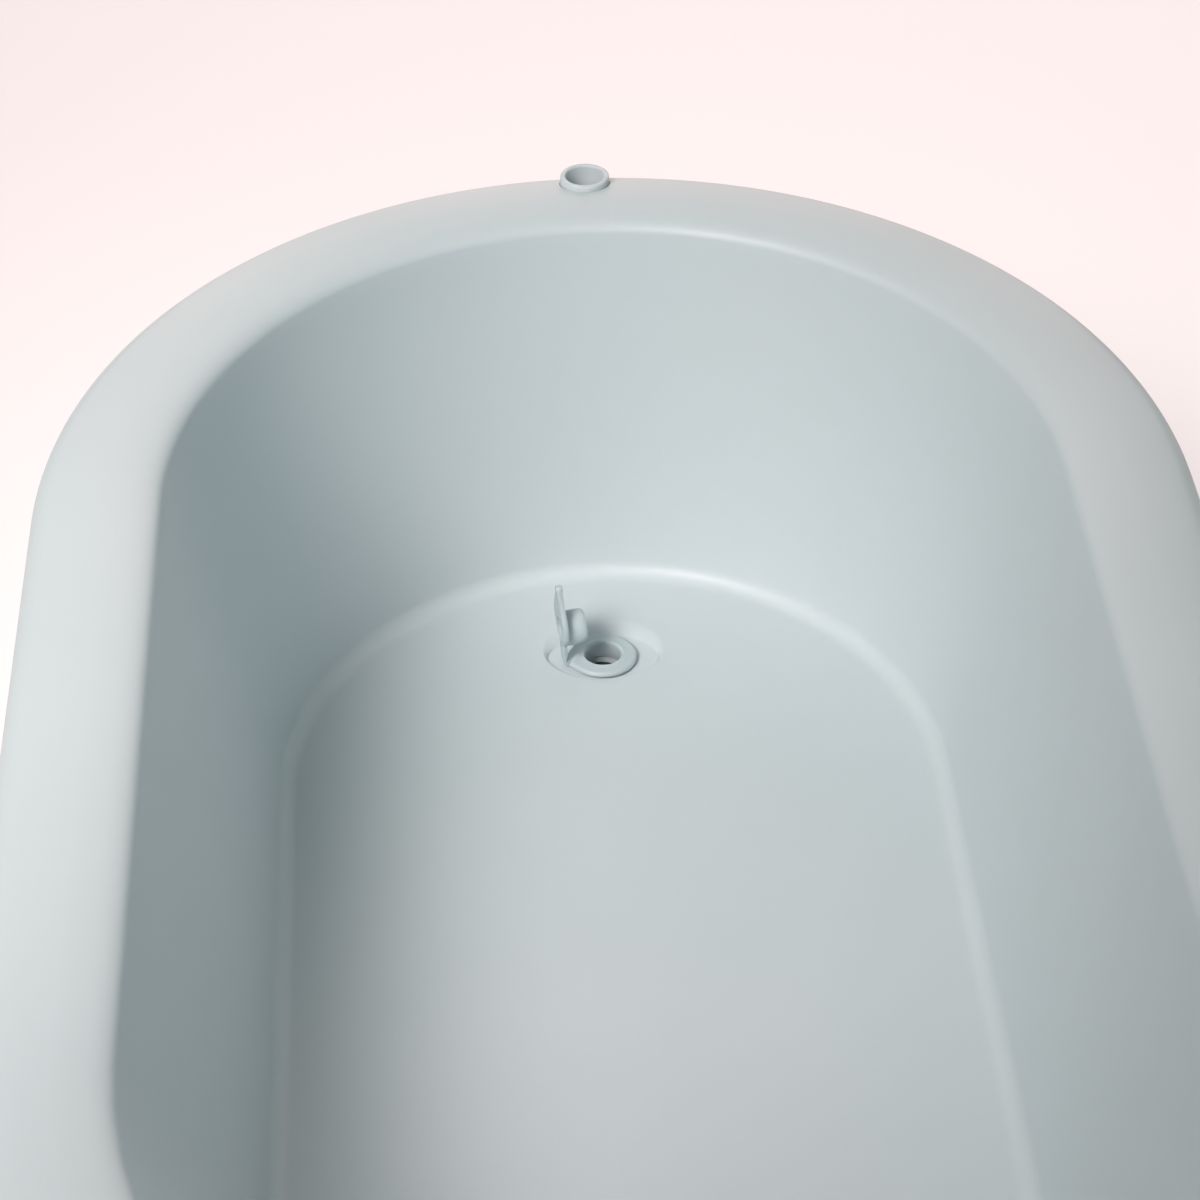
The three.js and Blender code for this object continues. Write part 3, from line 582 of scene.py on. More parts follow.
FOOT_HALF_WIDTH, FOOT_HALF_LENGTH, FOOT_WALL, FOOT_BOTTOM = 24.5, 36.5, 2.5, 4.0
WALL_SINK, FOOT_CAST_FROM = 1.5, 20.0
FEET = [("foot_pad_drain_left", (-110.0, 241.4), -15.0),
        ("foot_pad_drain_right", (110.0, 241.4), 15.0),
        ("foot_pad_head_left", (-100.0, -141.6), 15.0),
        ("foot_pad_head_right", (100.0, -141.6), -15.0)]
added = []
for name, centre, degrees in FEET:
    turn = math.radians(degrees)
    inner = oval_plan(FOOT_HALF_WIDTH - FOOT_WALL, FOOT_HALF_LENGTH - FOOT_WALL, centre, turn)
    outer = oval_plan(FOOT_HALF_WIDTH, FOOT_HALF_LENGTH, centre, turn)
    added.append(standing("skirt", [inner, outer], [FOOT_BOTTOM, FOOT_BOTTOM],
                          WALL_SINK, FOOT_CAST_FROM))

BOSS_RADIUS, SLEEVE_HOLE, BOSS_DEPTH, RIB_HALF, RIB_DEPTH = 15.5, 12.35, 19.5, 0.9, 16.0
CREST_HEIGHT = CREASE_HEIGHT + CREST_RISE
BOSS_BOTTOM = CREST_HEIGHT - BOSS_DEPTH
boss_centre = (0.0, SLEEVE_Y)
added.append(standing("boss", [oval_plan(SLEEVE_HOLE - 1, SLEEVE_HOLE - 1, boss_centre, 0.0),
                               oval_plan(BOSS_RADIUS, BOSS_RADIUS, boss_centre, 0.0)],
                      [BOSS_BOTTOM, BOSS_BOTTOM], WALL_SINK, BOSS_BOTTOM))
RIB_PLACES, RIB_CAST_FROM, RIB_SINK = (-12.0, 0.0, 12.0), 215.0, 1.2
for offset in RIB_PLACES:
    near, far = CREASE_END + 0.5, SLEEVE_Y - math.sqrt((BOSS_RADIUS - 0.5) ** 2 - offset ** 2)
    ring = [(offset - RIB_HALF, near), (offset + RIB_HALF, near), (offset + RIB_HALF, far),
            (offset - RIB_HALF, far)]
    low = [Vector((x, y, CREST_HEIGHT - RIB_DEPTH)) * MM for x, y in ring]
    high = [Vector((x, y, back_height(x, y, RIB_CAST_FROM) + RIB_SINK)) * MM for x, y in ring]
    added.append(outward(grid_mesh("rib", [low, high])))

helpers = bpy.data.collections.new("helpers")
bpy.context.scene.collection.children.link(helpers)
for mesh in added:
    helper = bpy.data.objects.new("helper", mesh)
    helpers.objects.link(helper)
join = tub.modifiers.new("join", "BOOLEAN")
join.operation, join.solver, join.operand_type = "UNION", "MANIFOLD", "COLLECTION"
join.collection = helpers
modified(tub)
for helper in list(helpers.objects):
    bpy.data.objects.remove(helper)
print("tub with feet", len(tub.data.polygons), "faces")

# %% [markdown]
# ## The hole for the hose end
# The hole is cut through the rim and its boss with a second Boolean.

# %% The hole for the hose end
DRILL_BOTTOM, DRILL_TOP = 215, 250
drill_profile = [(0, DRILL_BOTTOM), (SLEEVE_HOLE, DRILL_BOTTOM), (SLEEVE_HOLE, DRILL_TOP),
                 (0, DRILL_TOP)]
drill_mesh = outward(grid_mesh("drill", turned(drill_profile, (0, SLEEVE_Y, 0)), caps=False))
drill = bpy.data.objects.new("drill", drill_mesh)
bpy.context.scene.collection.objects.link(drill)
cut = tub.modifiers.new("cut", "BOOLEAN")
cut.operation, cut.solver, cut.object = "DIFFERENCE", "MANIFOLD", drill
modified(tub)
bpy.data.objects.remove(drill)
smooth(tub.data)
finish_piece(tub, "tub", "tub_plastic", "tub_shell")

# %% [markdown]
# ## The rubber pads
# Each foot is closed by an oval rubber pad with an eased edge and a plug that grips inside the
# foot's wall. Its rings follow the same oval as the foot.

# %% The rubber pads
PAD_HEIGHT, PAD_PLUG_TOP = 3.7, 8.7
for name, centre, degrees in FEET:
    rings = []
    plug_inset = FOOT_WALL + 0.3
    for inset, height in ((6.0, 0.0), (1.2, 0.0), (0.35, 0.35), (0.0, 1.1), (0.0, 3.2),
                          (0.15, 3.55), (0.5, PAD_HEIGHT), (plug_inset - 0.1, PAD_HEIGHT),
                          (plug_inset, PAD_HEIGHT + 0.1), (plug_inset, 8.1),
                          (plug_inset + 0.6, PAD_PLUG_TOP), (6.0, PAD_PLUG_TOP)):
        loop = oval_plan(FOOT_HALF_WIDTH - inset, FOOT_HALF_LENGTH - inset, centre,
                         math.radians(degrees), 96)
        rings.append([Vector((x, y, height)) * MM for x, y in loop])
    pad = add_piece("pad_" + name, outward(grid_mesh(name, rings)), pad_rubber)
    finish_piece(pad, "tub", "pad_rubber", name)

# %% [markdown]
# ## The plug's ring and strap
# One silicone moulding: a round flange with a raised, rounded lip about the hole, drawn out on the
# left to a strap that stands up as a living hinge. The flange is a set of rings that follow the
# drawn-out outline. The strap is a bent bar. Both are one mesh, which stays in place and does not
# bend when the cap swings.

# %% The plug's ring
PLUG_TURN = Matrix.Rotation(math.radians(9.0), 3, "Z")
HINGE_REACH, HINGE_UP = 17.7, 1.6
DRAIN = Vector((0.0, DRAIN_Y, FLOOR_HEIGHT))
RING_RADIUS, STRAP_HALF, RING_BOTTOM, RING_TOP, NECK_BOTTOM = 16.6, 3.6, -1.7, 1.0, -7.6


def in_plug(x, y, z):
    return (PLUG_TURN @ Vector((x, y, z)) + DRAIN) * MM


def flange_reach(angle):
    """Distance from the hole's centre to the flange's edge, drawn out to the strap."""
    corner = math.atan2(STRAP_HALF, HINGE_REACH)
    side = math.acos(RING_RADIUS / math.hypot(HINGE_REACH, STRAP_HALF))
    from_left = abs(math.remainder(angle - math.pi, 2 * math.pi))
    if from_left <= corner:
        return HINGE_REACH / math.cos(from_left)
    if from_left <= corner + side:
        return RING_RADIUS / math.cos(from_left - corner - side)
    return RING_RADIUS


def ring_about_hole(reach_at, height, facets=144):
    angles = [2 * math.pi * (i + 0.5) / facets for i in range(facets)]
    return [in_plug(reach_at(a) * math.cos(a), reach_at(a) * math.sin(a), height) for a in angles]


plug_rings = [ring_about_hole(lambda a: flange_reach(a) - inset, height) for inset, height in
              ((0.5, RING_BOTTOM), (0.08, -1.35), (0.0, -0.7), (0.08, -0.3), (0.3, 0.1),
               (0.65, 0.5), (1.05, 0.8), (1.5, 0.97), (1.9, RING_TOP))]
for radius, height in ((12.6, 1.0), (11.9, 1.02), (11.3, 1.12), (10.8, 1.28), (10.35, 1.37),
                       (9.95, 1.4), (9.6, 1.3), (9.25, 1.0), (8.95, 0.55), (8.78, 0.1),
                       (8.7, -0.4), (8.7, NECK_BOTTOM + 0.3), (8.95, NECK_BOTTOM),
                       (10.2, NECK_BOTTOM), (10.5, NECK_BOTTOM + 0.3), (10.5, -2.0),
                       (10.9, RING_BOTTOM)):
    plug_rings.append(ring_about_hole(lambda a: radius, height))
ring_mesh = outward(grid_mesh("ring", plug_rings, closed=True))

# %% The plug's strap
strap_line = [(-15.4, -1.68), (-17.2, -1.66), (-18.3, -1.47), (-19.3, -0.85), (-20.0, 0.15),
              (-20.3, 1.25), (-20.34, 2.4), (-20.44, 4.4), (-20.6, 7.4), (-18.15, 7.4),
              (-18.1, 6.2), (-18.3, 4.2), (-18.62, 2.6), (-18.74, 1.7), (-18.66, 1.2),
              (-18.36, 1.02), (-16.4, 0.98)]
strap_middle = Vector((-19.3, 2.6))
strap_rings = []
for y, inset in ((-STRAP_HALF, 0.35), (-STRAP_HALF + 0.12, 0.1), (-STRAP_HALF + 0.4, 0.0),
                 (-1.5, 0.0), (1.5, 0.0), (STRAP_HALF - 0.4, 0.0), (STRAP_HALF - 0.12, 0.1),
                 (STRAP_HALF, 0.35)):
    strap_rings.append([in_plug(x + math.copysign(inset, strap_middle.x - x), y,
                                z + math.copysign(inset, strap_middle.y - z))
                        for x, z in strap_line])
strap_mesh = outward(grid_mesh("strap", strap_rings))
both = bmesh.new()
both.from_mesh(ring_mesh)
both.from_mesh(strap_mesh)
plug_mesh = bpy.data.meshes.new("plug_ring")
both.to_mesh(plug_mesh)
both.free()
plug_ring = add_piece("plug_ring", plug_mesh, plug_silicone, 50)
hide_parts("drain_plug_ring", "drain_plug_strap")
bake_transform(plug_ring)
print("plug ring", len(plug_ring.data.polygons), "faces")

# %% [markdown]
# ## The plug's cap
# A round plate with a hollow stopper on its inner face, a strap end below, and drawn out above to
# a small bead to pull it by. The plate is an outline with eased edges. The stopper, the bead and
# the stopper's hollow are turned, and are joined to the plate or cut from it with Booleans.

# %% The plug's cap
CAP_FACE, CAP_THICK, CAP_RADIUS, CAP_MIDDLE = 0.1, 2.6, 12.0, 21.9
TAB_HALF, TAB_MIDDLE, LEAN = 1.8, 41.4, math.radians(3.0)


def in_cap(u, v, w):
    """u across, v up from the hinge, w out of the inner face towards the stopper."""
    x, z = w - CAP_FACE, v
    turned_x = x * math.cos(LEAN) - z * math.sin(LEAN)
    turned_z = x * math.sin(LEAN) + z * math.cos(LEAN)
    return in_plug(turned_x - HINGE_REACH, u, turned_z + HINGE_UP)


def arc(centre, radius, start, end, steps):
    return [(radius * math.cos(start + (end - start) * i / steps),
             centre + radius * math.sin(start + (end - start) * i / steps))
            for i in range(steps + 1)]


def cap_outline(inset):
    """Plate's outline, anticlockwise from the middle of its strap end."""
    radius, strap, tab = CAP_RADIUS - inset, STRAP_HALF - inset, TAB_HALF - inset
    low = math.atan2(-math.sqrt(radius ** 2 - strap ** 2), strap)
    high = math.asin((CAP_RADIUS - TAB_HALF) / (TAB_MIDDLE - CAP_MIDDLE))
    points = [(0.0, 4.9), (strap, 4.9)] + arc(CAP_MIDDLE, radius, low, high, 60)
    points += arc(TAB_MIDDLE, tab, high, math.pi - high, 14)
    points += arc(CAP_MIDDLE, radius, math.pi - high, math.pi - low, 60)
    return points + [(-strap, 4.9)]


def disc_rings(profile, centre, facets=96):
    """Rings of a turned piece whose axis is the stopper's, from (radius, w) pairs."""
    angles = [2 * math.pi * i / facets for i in range(facets)]
    return [[in_cap(radius * math.cos(a), centre + radius * math.sin(a), w) for a in angles]
            for radius, w in profile]


plate_rings = [[in_cap(u, v, w) for u, v in cap_outline(inset)]
               for inset, w in ((0.5, 0.0), (0.15, -0.1), (0.0, -0.4), (0.0, -CAP_THICK + 0.5),
                                (0.15, -CAP_THICK + 0.15), (0.6, -CAP_THICK))]
cap = add_piece("plug_cap", outward(grid_mesh("plate", plate_rings)), plug_silicone)
stopper_profile = [(0.0, -1.2), (8.75, -1.2), (8.75, 0.05), (8.62, 0.5), (8.58, 3.0),
                   (8.55, 6.0), (8.5, 7.6), (8.3, 8.6), (7.9, 9.4), (7.3, 9.85), (6.7, 10.0),
                   (0.0, 10.0)]
nub_profile = [(0.0, -CAP_THICK - 0.3), (1.4, -CAP_THICK - 0.3), (1.95, -CAP_THICK - 0.1),
               (2.2, -CAP_THICK + 0.4), (2.2, -0.4), (1.95, 0.1), (1.4, 0.3), (0.0, 0.3)]
hollow_profile = [(0.0, 8.0), (5.6, 8.0), (6.3, 7.3), (6.0, 1.5), (6.3, -CAP_THICK - 1.0),
                  (0.0, -CAP_THICK - 1.0)]
for operation, profile, centre in (("UNION", stopper_profile, HINGE_REACH),
                                   ("UNION", nub_profile, TAB_MIDDLE - 0.2),
                                   ("DIFFERENCE", hollow_profile, HINGE_REACH)):
    mesh = outward(grid_mesh("tool", disc_rings(profile, centre), caps=False))
    tool = bpy.data.objects.new("tool", mesh)
    bpy.context.scene.collection.objects.link(tool)
    step = cap.modifiers.new("step", "BOOLEAN")
    step.operation, step.solver, step.object = operation, "MANIFOLD", tool
    modified(cap)
    bpy.data.objects.remove(tool)
smooth(cap.data, 40)
finish_piece(cap, "plug_cap", "plug_silicone", "drain_plug_cap")

# %% [markdown]
# ## The hose end
# A smooth turned tube with a rounded lip. A collar stops it under the rim's boss, and its lower
# end is a spigot with two low barbs for the hose.

# %% The hose end
COLLAR_TOP, COLLAR_BOTTOM, LIP_TOP, SPIGOT_BOTTOM = 219.7, 216.0, 242.2, 194.0
LIP_RADIUS, LIP_BORE, COLLAR_RADIUS = 11.9, 9.2, 14.0
SPIGOT_RADIUS, SPIGOT_BORE, BARB_RADIUS = 8.25, 6.75, 8.6
sleeve_profile = eased([(SPIGOT_BORE, SPIGOT_BOTTOM), (SPIGOT_RADIUS, SPIGOT_BOTTOM),
                        (SPIGOT_RADIUS, 199.0), (BARB_RADIUS, 199.4), (SPIGOT_RADIUS, 202.5),
                        (SPIGOT_RADIUS, 206.0), (BARB_RADIUS, 206.4), (SPIGOT_RADIUS, 209.5),
                        (SPIGOT_RADIUS, COLLAR_BOTTOM), (COLLAR_RADIUS, COLLAR_BOTTOM),
                        (COLLAR_RADIUS, COLLAR_TOP), (LIP_RADIUS, COLLAR_TOP),
                        (LIP_RADIUS, LIP_TOP), (LIP_BORE, LIP_TOP), (LIP_BORE, COLLAR_TOP),
                        (SPIGOT_BORE, COLLAR_BOTTOM)], 1.1)
sleeve_mesh = outward(grid_mesh("sleeve", turned(sleeve_profile, (0, SLEEVE_Y, 0), 128),
                                closed=True))
sleeve = add_piece("hose_end", sleeve_mesh, fitting_plastic)
finish_piece(sleeve, "hose_end", "fitting_plastic", "hose_end_sleeve")

# %% [markdown]
# ## Gasket, elbow and nut
# The outlet's hidden fittings. Gasket and nut are turned pieces, and the elbow is a round bar bent
# through a quarter turn, with its bore cut along the same line.

# %% Gasket, elbow and nut
gasket_profile = eased([(9.1, -14.8), (13.2, -14.8), (13.2, -13.3), (9.1, -13.3)], 0.3)
drain_mm = tuple(DRAIN)
gasket = add_piece("gasket", outward(grid_mesh("gasket", turned(gasket_profile, drain_mm),
                                               closed=True)), gasket_rubber)
finish_piece(gasket, "tub", "gasket_rubber", "drain_gasket")

ELBOW_BEND, OUTLET_DROP, SHOULDER_END, ELBOW_END = 10.0, 33.0, 13.0, 35.0
FLANGE_TOP, FLANGE_BOTTOM, FLANGE_RADIUS, BEND_RADIUS = -15.1, -17.6, 13.2, 9.5


def bent_rings(steps):
    """Rings along the elbow's line. Each step is (radius, distance before or after the bend)."""
    rings = []
    for radius, kind, value in steps:
        turn = {"down": 0.0, "bend": value, "out": math.pi / 2}[kind]
        y, z = ELBOW_BEND * (1 - math.cos(turn)), ELBOW_BEND * (1 - math.sin(turn)) - OUTLET_DROP
        if kind == "down":
            z = value
        if kind == "out":
            y = value
        ring = []
        for i in range(64):
            a = 2 * math.pi * i / 64
            over, side = radius * math.sin(a), radius * math.cos(a)
            ring.append((Vector((side, y + over * math.cos(turn), z + over * math.sin(turn)))
                         + DRAIN) * MM)
        rings.append(ring)
    return rings


bends = [math.pi / 2 * k / 12 for k in range(13)]
elbow_steps = [(FLANGE_RADIUS - 0.3, "down", FLANGE_TOP),
               (FLANGE_RADIUS, "down", FLANGE_TOP - 0.3),
               (FLANGE_RADIUS, "down", FLANGE_BOTTOM + 0.3),
               (FLANGE_RADIUS - 0.3, "down", FLANGE_BOTTOM),
               (BEND_RADIUS + 0.3, "down", FLANGE_BOTTOM),
               (BEND_RADIUS, "down", FLANGE_BOTTOM - 0.3)]
elbow_steps += [(BEND_RADIUS, "bend", turn) for turn in bends]
elbow_steps += [(BEND_RADIUS, "out", SHOULDER_END - 0.4), (9.1, "out", SHOULDER_END),
                (8.4, "out", SHOULDER_END), (SPIGOT_RADIUS, "out", SHOULDER_END + 0.2)]
for barb_start in (18.0, 27.0):
    elbow_steps += [(SPIGOT_RADIUS, "out", barb_start), (BARB_RADIUS, "out", barb_start + 3.0),
                    (SPIGOT_RADIUS, "out", barb_start + 3.4)]
elbow_steps += [(SPIGOT_RADIUS, "out", ELBOW_END - 0.3), (7.95, "out", ELBOW_END),
                (7.0, "out", ELBOW_END), (SPIGOT_BORE, "out", ELBOW_END - 0.3)]
elbow_steps += [(SPIGOT_BORE, "bend", turn) for turn in reversed(bends)]
elbow_steps += [(SPIGOT_BORE, "down", FLANGE_TOP - 0.3), (7.05, "down", FLANGE_TOP)]
elbow = add_piece("elbow", outward(grid_mesh("elbow", bent_rings(elbow_steps), closed=True)),
                  fitting_plastic)
finish_piece(elbow, "tub", "fitting_plastic", "drain_elbow")

NUT_BOTTOM, NUT_SEAT, NUT_TOP = -20.4, -17.9, -6.5


def nut_ring(radius, height, grip):
    """A ring whose outer radius swells at ten grips."""
    ring = []
    for i in range(160):
        a = 2 * math.pi * i / 160
        swell = grip * max(0.0, math.cos(10 * a)) ** 0.5
        reach = radius + swell
        ring.append((Vector((reach * math.cos(a), reach * math.sin(a), height)) + DRAIN) * MM)
    return ring


nut_rings = [nut_ring(10.2, NUT_BOTTOM, 0), nut_ring(16.0, NUT_BOTTOM, 0.4),
             nut_ring(16.9, NUT_BOTTOM + 0.8, 0.9), nut_ring(16.9, NUT_TOP - 0.8, 0.9),
             nut_ring(16.2, NUT_TOP, 0.4), nut_ring(14.2, NUT_TOP, 0),
             nut_ring(13.8, NUT_TOP - 0.4, 0), nut_ring(13.8, NUT_SEAT, 0),
             nut_ring(9.8, NUT_SEAT, 0), nut_ring(9.8, NUT_BOTTOM + 0.4, 0)]
nut = add_piece("outlet_nut", outward(grid_mesh("nut", nut_rings, closed=True)), fitting_plastic)
finish_piece(nut, "tub", "fitting_plastic", "drain_nut")

# %% [markdown]
# ## The ribbed hose
# A flexible hose with close ribs and plain cuffs. It could be a stack of rings placed one by one;
# here Geometry Nodes sweep a circle along the hose's line, and a wave along its length sets the
# circle's size, so that pitch, root and crest are each one number.

# %% The hose's line
HOSE_START, BEND_START, HOSE_LEVEL = DRAIN_Y + 13.3, DRAIN_Y + 35.0, 17.0
HOSE_TURN, HOSE_TOP, CUFF = SLEEVE_Y - BEND_START, 215.7, 22.0
hose_line = [(0.0, HOSE_START, HOSE_LEVEL)]
for k in range(49):
    turn = math.pi / 2 * k / 48
    hose_line.append((0.0, BEND_START + HOSE_TURN * math.sin(turn),
                      HOSE_LEVEL + HOSE_TURN * (1 - math.cos(turn))))
hose_line.append((0.0, SLEEVE_Y, HOSE_TOP))
hose_length = sum((Vector(b) - Vector(a)).length for a, b in zip(hose_line, hose_line[1:]))
print("hose length", round(hose_length, 1), "mm")


# %% The hose's tree
def hose_tree():
    tree = bpy.data.node_groups.new("ribbed_hose", "GeometryNodeTree")
    face = tree.interface
    face.new_socket("Geometry", in_out="OUTPUT", socket_type="NodeSocketGeometry")
    face.new_socket("Geometry", in_out="INPUT", socket_type="NodeSocketGeometry")
    for name in ("Pitch", "Root Radius", "Crest Radius", "Cuff Radius", "Cuff Length",
                 "Bore Radius", "Length"):
        face.new_socket(name, in_out="INPUT", socket_type="NodeSocketFloat")
    face.new_socket("Material", in_out="INPUT", socket_type="NodeSocketMaterial")
    given = tree.nodes.new("NodeGroupInput")
    line = add_node(tree, "GeometryNodeMeshToCurve", (given, "Geometry"))
    fine = add_node(tree, "GeometryNodeResampleCurve", Curve=line, Count=560)
    where = add_node(tree, "GeometryNodeSplineParameter")

    # The ribs are a rounded wave along the hose
    past_cuff = add_node(tree, "ShaderNodeMath", (where, "Length"), (given, "Cuff Length"),
                         operation="SUBTRACT")
    ribs_past = add_node(tree, "ShaderNodeMath", past_cuff, (given, "Pitch"), operation="DIVIDE")
    phase = add_node(tree, "ShaderNodeMath", ribs_past, 2 * math.pi, operation="MULTIPLY")
    swing = add_node(tree, "ShaderNodeMath", phase, operation="COSINE")
    wave = add_node(tree, "ShaderNodeMath", swing, -0.5, 0.5, operation="MULTIPLY_ADD")
    rib = add_node(tree, "ShaderNodeMath", wave, 0.6, operation="POWER")
    ribbed = add_node(tree, "ShaderNodeMix", Factor=rib, A=(given, "Root Radius"),
                      B=(given, "Crest Radius"))

    # Both ends are plain cuffs, drawn in to the bore at the very end
    from_end = add_node(tree, "ShaderNodeMath", (given, "Length"), (where, "Length"),
                        operation="SUBTRACT")
    near_end = add_node(tree, "ShaderNodeMath", (where, "Length"), from_end,
                        operation="MINIMUM")
    on_cuff = add_node(tree, "ShaderNodeMath", near_end, (given, "Cuff Length"),
                       operation="LESS_THAN")
    at_end = add_node(tree, "ShaderNodeMath", near_end, 0.0001, operation="LESS_THAN")
    cuffed = add_node(tree, "ShaderNodeMix", Factor=on_cuff, A=ribbed, B=(given, "Cuff Radius"))
    outer = add_node(tree, "ShaderNodeMix", Factor=at_end, A=cuffed, B=(given, "Bore Radius"))

    loop = add_node(tree, "GeometryNodeCurvePrimitiveCircle", Resolution=40, Radius=1.0)
    skin = add_node(tree, "GeometryNodeCurveToMesh", Curve=fine, Profile_Curve=loop, Scale=outer)
    bore = add_node(tree, "GeometryNodeCurveToMesh", Curve=fine, Profile_Curve=loop,
                    Scale=(given, "Bore Radius"))
    inside = add_node(tree, "GeometryNodeFlipFaces", bore)
    both = add_node(tree, "GeometryNodeJoinGeometry")
    tree.links.new(skin.outputs["Mesh"], both.inputs["Geometry"])
    tree.links.new(inside.outputs["Mesh"], both.inputs["Geometry"])
    closed = add_node(tree, "GeometryNodeMergeByDistance", Geometry=both, Distance=0.00001)
    real = add_node(tree, "GeometryNodeRealizeInstances", Geometry=closed)
    finished = add_node(tree, "GeometryNodeSetMaterial", Geometry=real,
                        Material=(given, "Material"))
    add_node(tree, "NodeGroupOutput", finished)
    return tree


# %% The hose
line_mesh = bpy.data.meshes.new("hose_line")
line_mesh.from_pydata([Vector(p) * MM for p in hose_line],
                      [(i, i + 1) for i in range(len(hose_line) - 1)], [])
hose = bpy.data.objects.new("ribbed_hose", line_mesh)
bpy.context.scene.collection.objects.link(hose)
ribbed_length = hose_length - 2 * CUFF
rib_pitch = ribbed_length / round(ribbed_length / 4.0)
tree = hose_tree()
modifier = hose.modifiers.new("ribs", "NODES")
modifier.node_group = tree
values = {"Pitch": rib_pitch * MM, "Root Radius": 10.3 * MM, "Crest Radius": 11.55 * MM,
          "Cuff Radius": 11.2 * MM, "Cuff Length": CUFF * MM, "Bore Radius": 9.3 * MM,
          "Length": hose_length * MM, "Material": hose_plastic}
for item in tree.interface.items_tree:
    if item.in_out == "INPUT" and item.name in values:
        modifier[item.identifier] = values[item.name]
modified(hose)
smooth(hose.data, 50)
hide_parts("drain_hose")
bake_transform(hose)
print("hose", len(hose.data.polygons), "faces, pitch", round(rib_pitch, 2))

# %% [markdown]
# ## The spring bands
# A flat steel band bent round the hose's cuff, with its two ends turned out as ears to squeeze. It
# is one strip: the line of the strip is drawn in its own plane and given its width and thickness.

# %% The spring bands
BAND_INNER, BAND_THICK, BAND_WIDTH, EAR_REACH, EAR_GAP = 11.8, 0.8, 8.0, 5.0, 1.5


def band_mesh(centre, turn):
    half = EAR_GAP + BAND_THICK / 2
    middle = BAND_INNER + BAND_THICK / 2
    gap = math.asin(half / middle)
    ear_end = middle + EAR_REACH
    line = [(ear_end, half), (middle + 1.0, half)]
    line += [(middle * math.cos(a), middle * math.sin(a))
             for a in np.linspace(gap * 1.15, 2 * math.pi - gap * 1.15, 90)]
    line += [(middle + 1.0, -half), (ear_end, -half)]
    points = [Vector(p) for p in line]
    normals = []
    for i in range(len(points)):
        step = points[min(i + 1, len(points) - 1)] - points[max(i - 1, 0)]
        normals.append(Vector((-step.y, step.x)).normalized())
    corners = [(-0.5, -0.5), (0.5, -0.5), (0.5, 0.5), (-0.5, 0.5)]
    rings = []
    for point, normal in zip(points, normals):
        ring = []
        for across, up in corners:
            flat = point + normal * (across * BAND_THICK)
            ring.append((turn @ Vector((flat.x, flat.y, up * BAND_WIDTH)) + Vector(centre)) * MM)
        rings.append(ring)
    return outward(grid_mesh("band", rings))


lower_turn = Matrix.Rotation(-math.pi / 2, 3, "X")
for name, node_name, centre, turn, body in (
        ("lower_band", "hose_clamp_lower", (0, DRAIN_Y + 24.0, HOSE_LEVEL), lower_turn, "tub"),
        ("upper_band", "hose_clamp_upper", (0, SLEEVE_Y, HOSE_TOP - 11.0), Matrix.Identity(3),
         "hose_end")):
    band = add_piece(name, band_mesh(centre, turn), band_steel)
    finish_piece(band, body, "band_steel", node_name)

# %% [markdown]
# ## Floor, backdrop and light
# A pale, slightly warm studio sheet. Where the camera or a reflection sees it, half of its look is
# an even glow, as the photograph's background is one flat tone, and half is its own shade, which
# keeps the shadow. The world is pale to the eye and dimmer as a light. The main lamp stands in
# front on the left and is narrowed to the drain end, so that the near floor falls off. A weaker
# one stands on the right, and a broad warm one behind gives the rim its sheen.

# %% Floor and backdrop
def seen_share(tree):
    """1 for a ray that shows the backdrop: from the camera, off gloss or through glass."""
    ray = add_node(tree, "ShaderNodeLightPath")
    seen = add_node(tree, "ShaderNodeMath", (ray, "Is Camera Ray"), (ray, "Is Glossy Ray"),
                    operation="MAXIMUM")
    return add_node(tree, "ShaderNodeMath", seen, (ray, "Is Transmission Ray"),
                    operation="MAXIMUM")


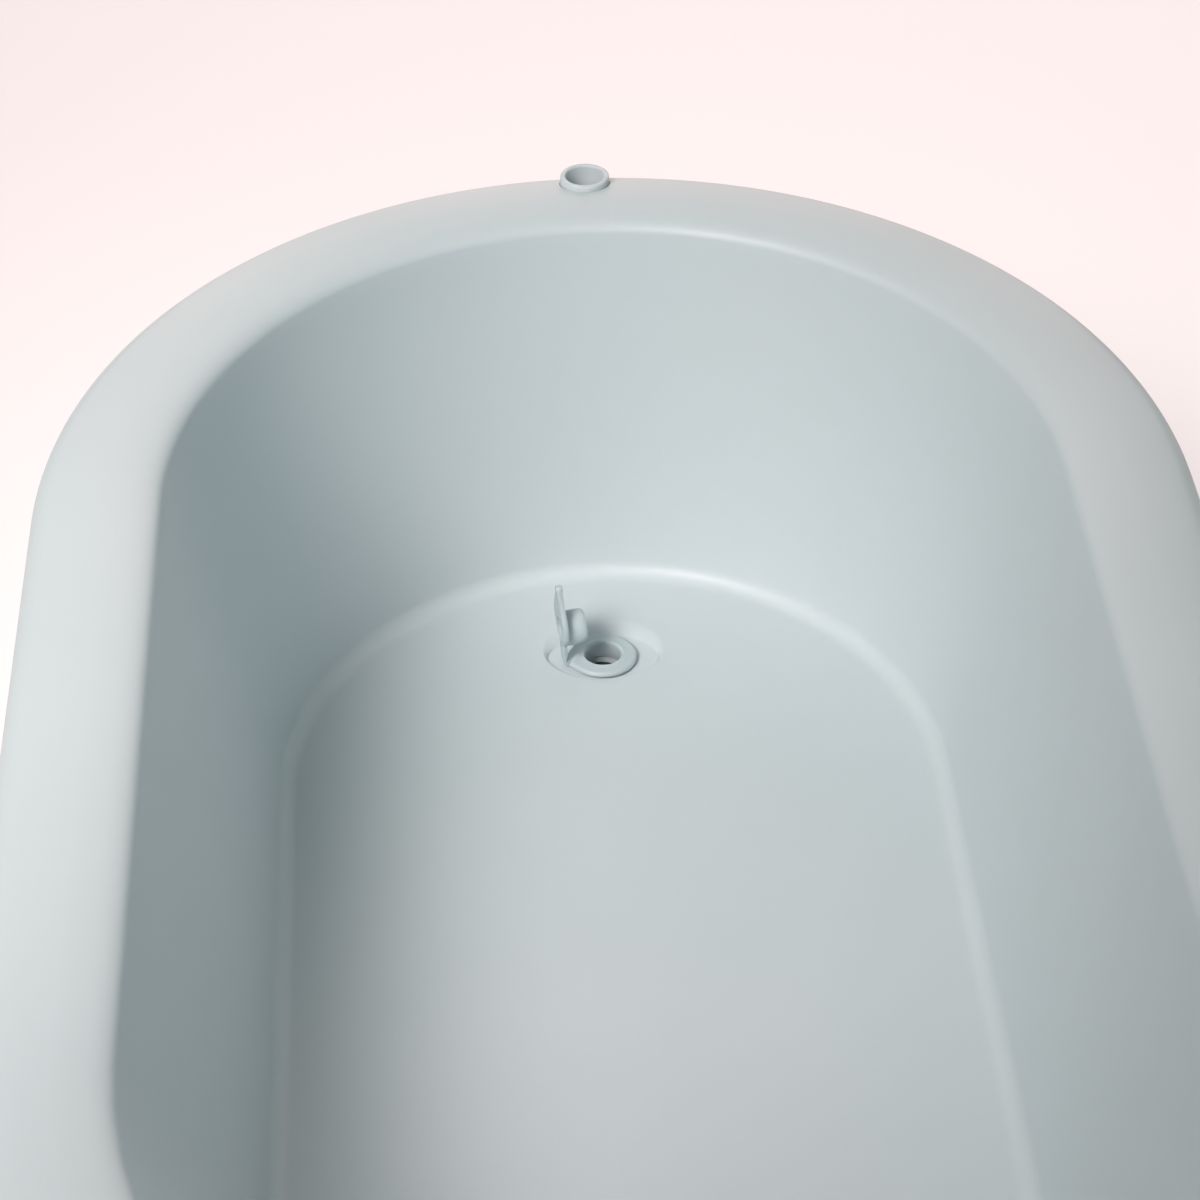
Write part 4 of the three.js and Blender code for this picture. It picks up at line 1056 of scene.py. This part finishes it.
def sheet_material():
    """A pale sheet that keeps the shadow, and looks more even than it lights."""
    material = bpy.data.materials.new("Studio sheet")
    material.use_nodes = True
    tree = material.node_tree
    tree.nodes.clear()
    sheet = add_node(tree, "ShaderNodeBsdfPrincipled", Base_Color=linear("#fbf1ef"),
                     Roughness=0.9)
    share = add_node(tree, "ShaderNodeMath", seen_share(tree), 0.5, operation="MULTIPLY")
    glow = add_node(tree, "ShaderNodeEmission", Color=linear("#fff3f3"), Strength=1.29)
    shader = add_node(tree, "ShaderNodeMixShader", share, sheet, glow)
    add_node(tree, "ShaderNodeOutputMaterial", Surface=shader)
    return material


floor_mesh = bpy.data.meshes.new("studio_floor")
floor_mesh.from_pydata([(-8, -6, 0), (8, -6, 0), (8, 14, 0), (-8, 14, 0)], [], [(0, 1, 2, 3)])
floor_mesh.materials.append(sheet_material())
floor = bpy.data.objects.new("studio_floor", floor_mesh)
bpy.context.scene.collection.objects.link(floor)
floor.location.z = -0.0005


# %% Light
def area_light(name, place, target, size, power, colour, spread=180):
    data = bpy.data.lights.new(name, "AREA")
    data.shape, data.size, data.energy = "DISK", size, power
    data.color, data.spread = linear(colour)[:3], math.radians(spread)
    lamp = bpy.data.objects.new(name, data)
    bpy.context.scene.collection.objects.link(lamp)
    direction = Vector(target) - Vector(place)
    lamp.rotation_euler = direction.to_track_quat("-Z", "Y").to_euler()
    lamp.location = place
    lamp.visible_camera = False


area_light("main_light", (-0.9, -0.9, 1.5), (-0.12, 0.26, 0.1), 0.8, 2.7, "#fff6f4", 40)
area_light("right_light", (1.6, -0.6, 0.7), (0, 0.2, 0.1), 0.7, 2.2, "#daf4ff")
area_light("back_light", (0.2, 2.2, 0.8), (0, 0.2, 0.1), 2.2, 16.0, "#ffe0de")
world = bpy.data.worlds.new("studio")
world.use_nodes = True
tree = world.node_tree
tree.nodes.clear()
sky = add_node(tree, "ShaderNodeBackground", Color=linear("#effffd"), Strength=0.265)
pale = add_node(tree, "ShaderNodeBackground", Color=linear("#fff3f1"), Strength=1.0)
shader = add_node(tree, "ShaderNodeMixShader", seen_share(tree), sky, pale)
add_node(tree, "ShaderNodeOutputWorld", shader)
bpy.context.scene.world = world
bpy.context.scene.view_settings.view_transform = "Standard"
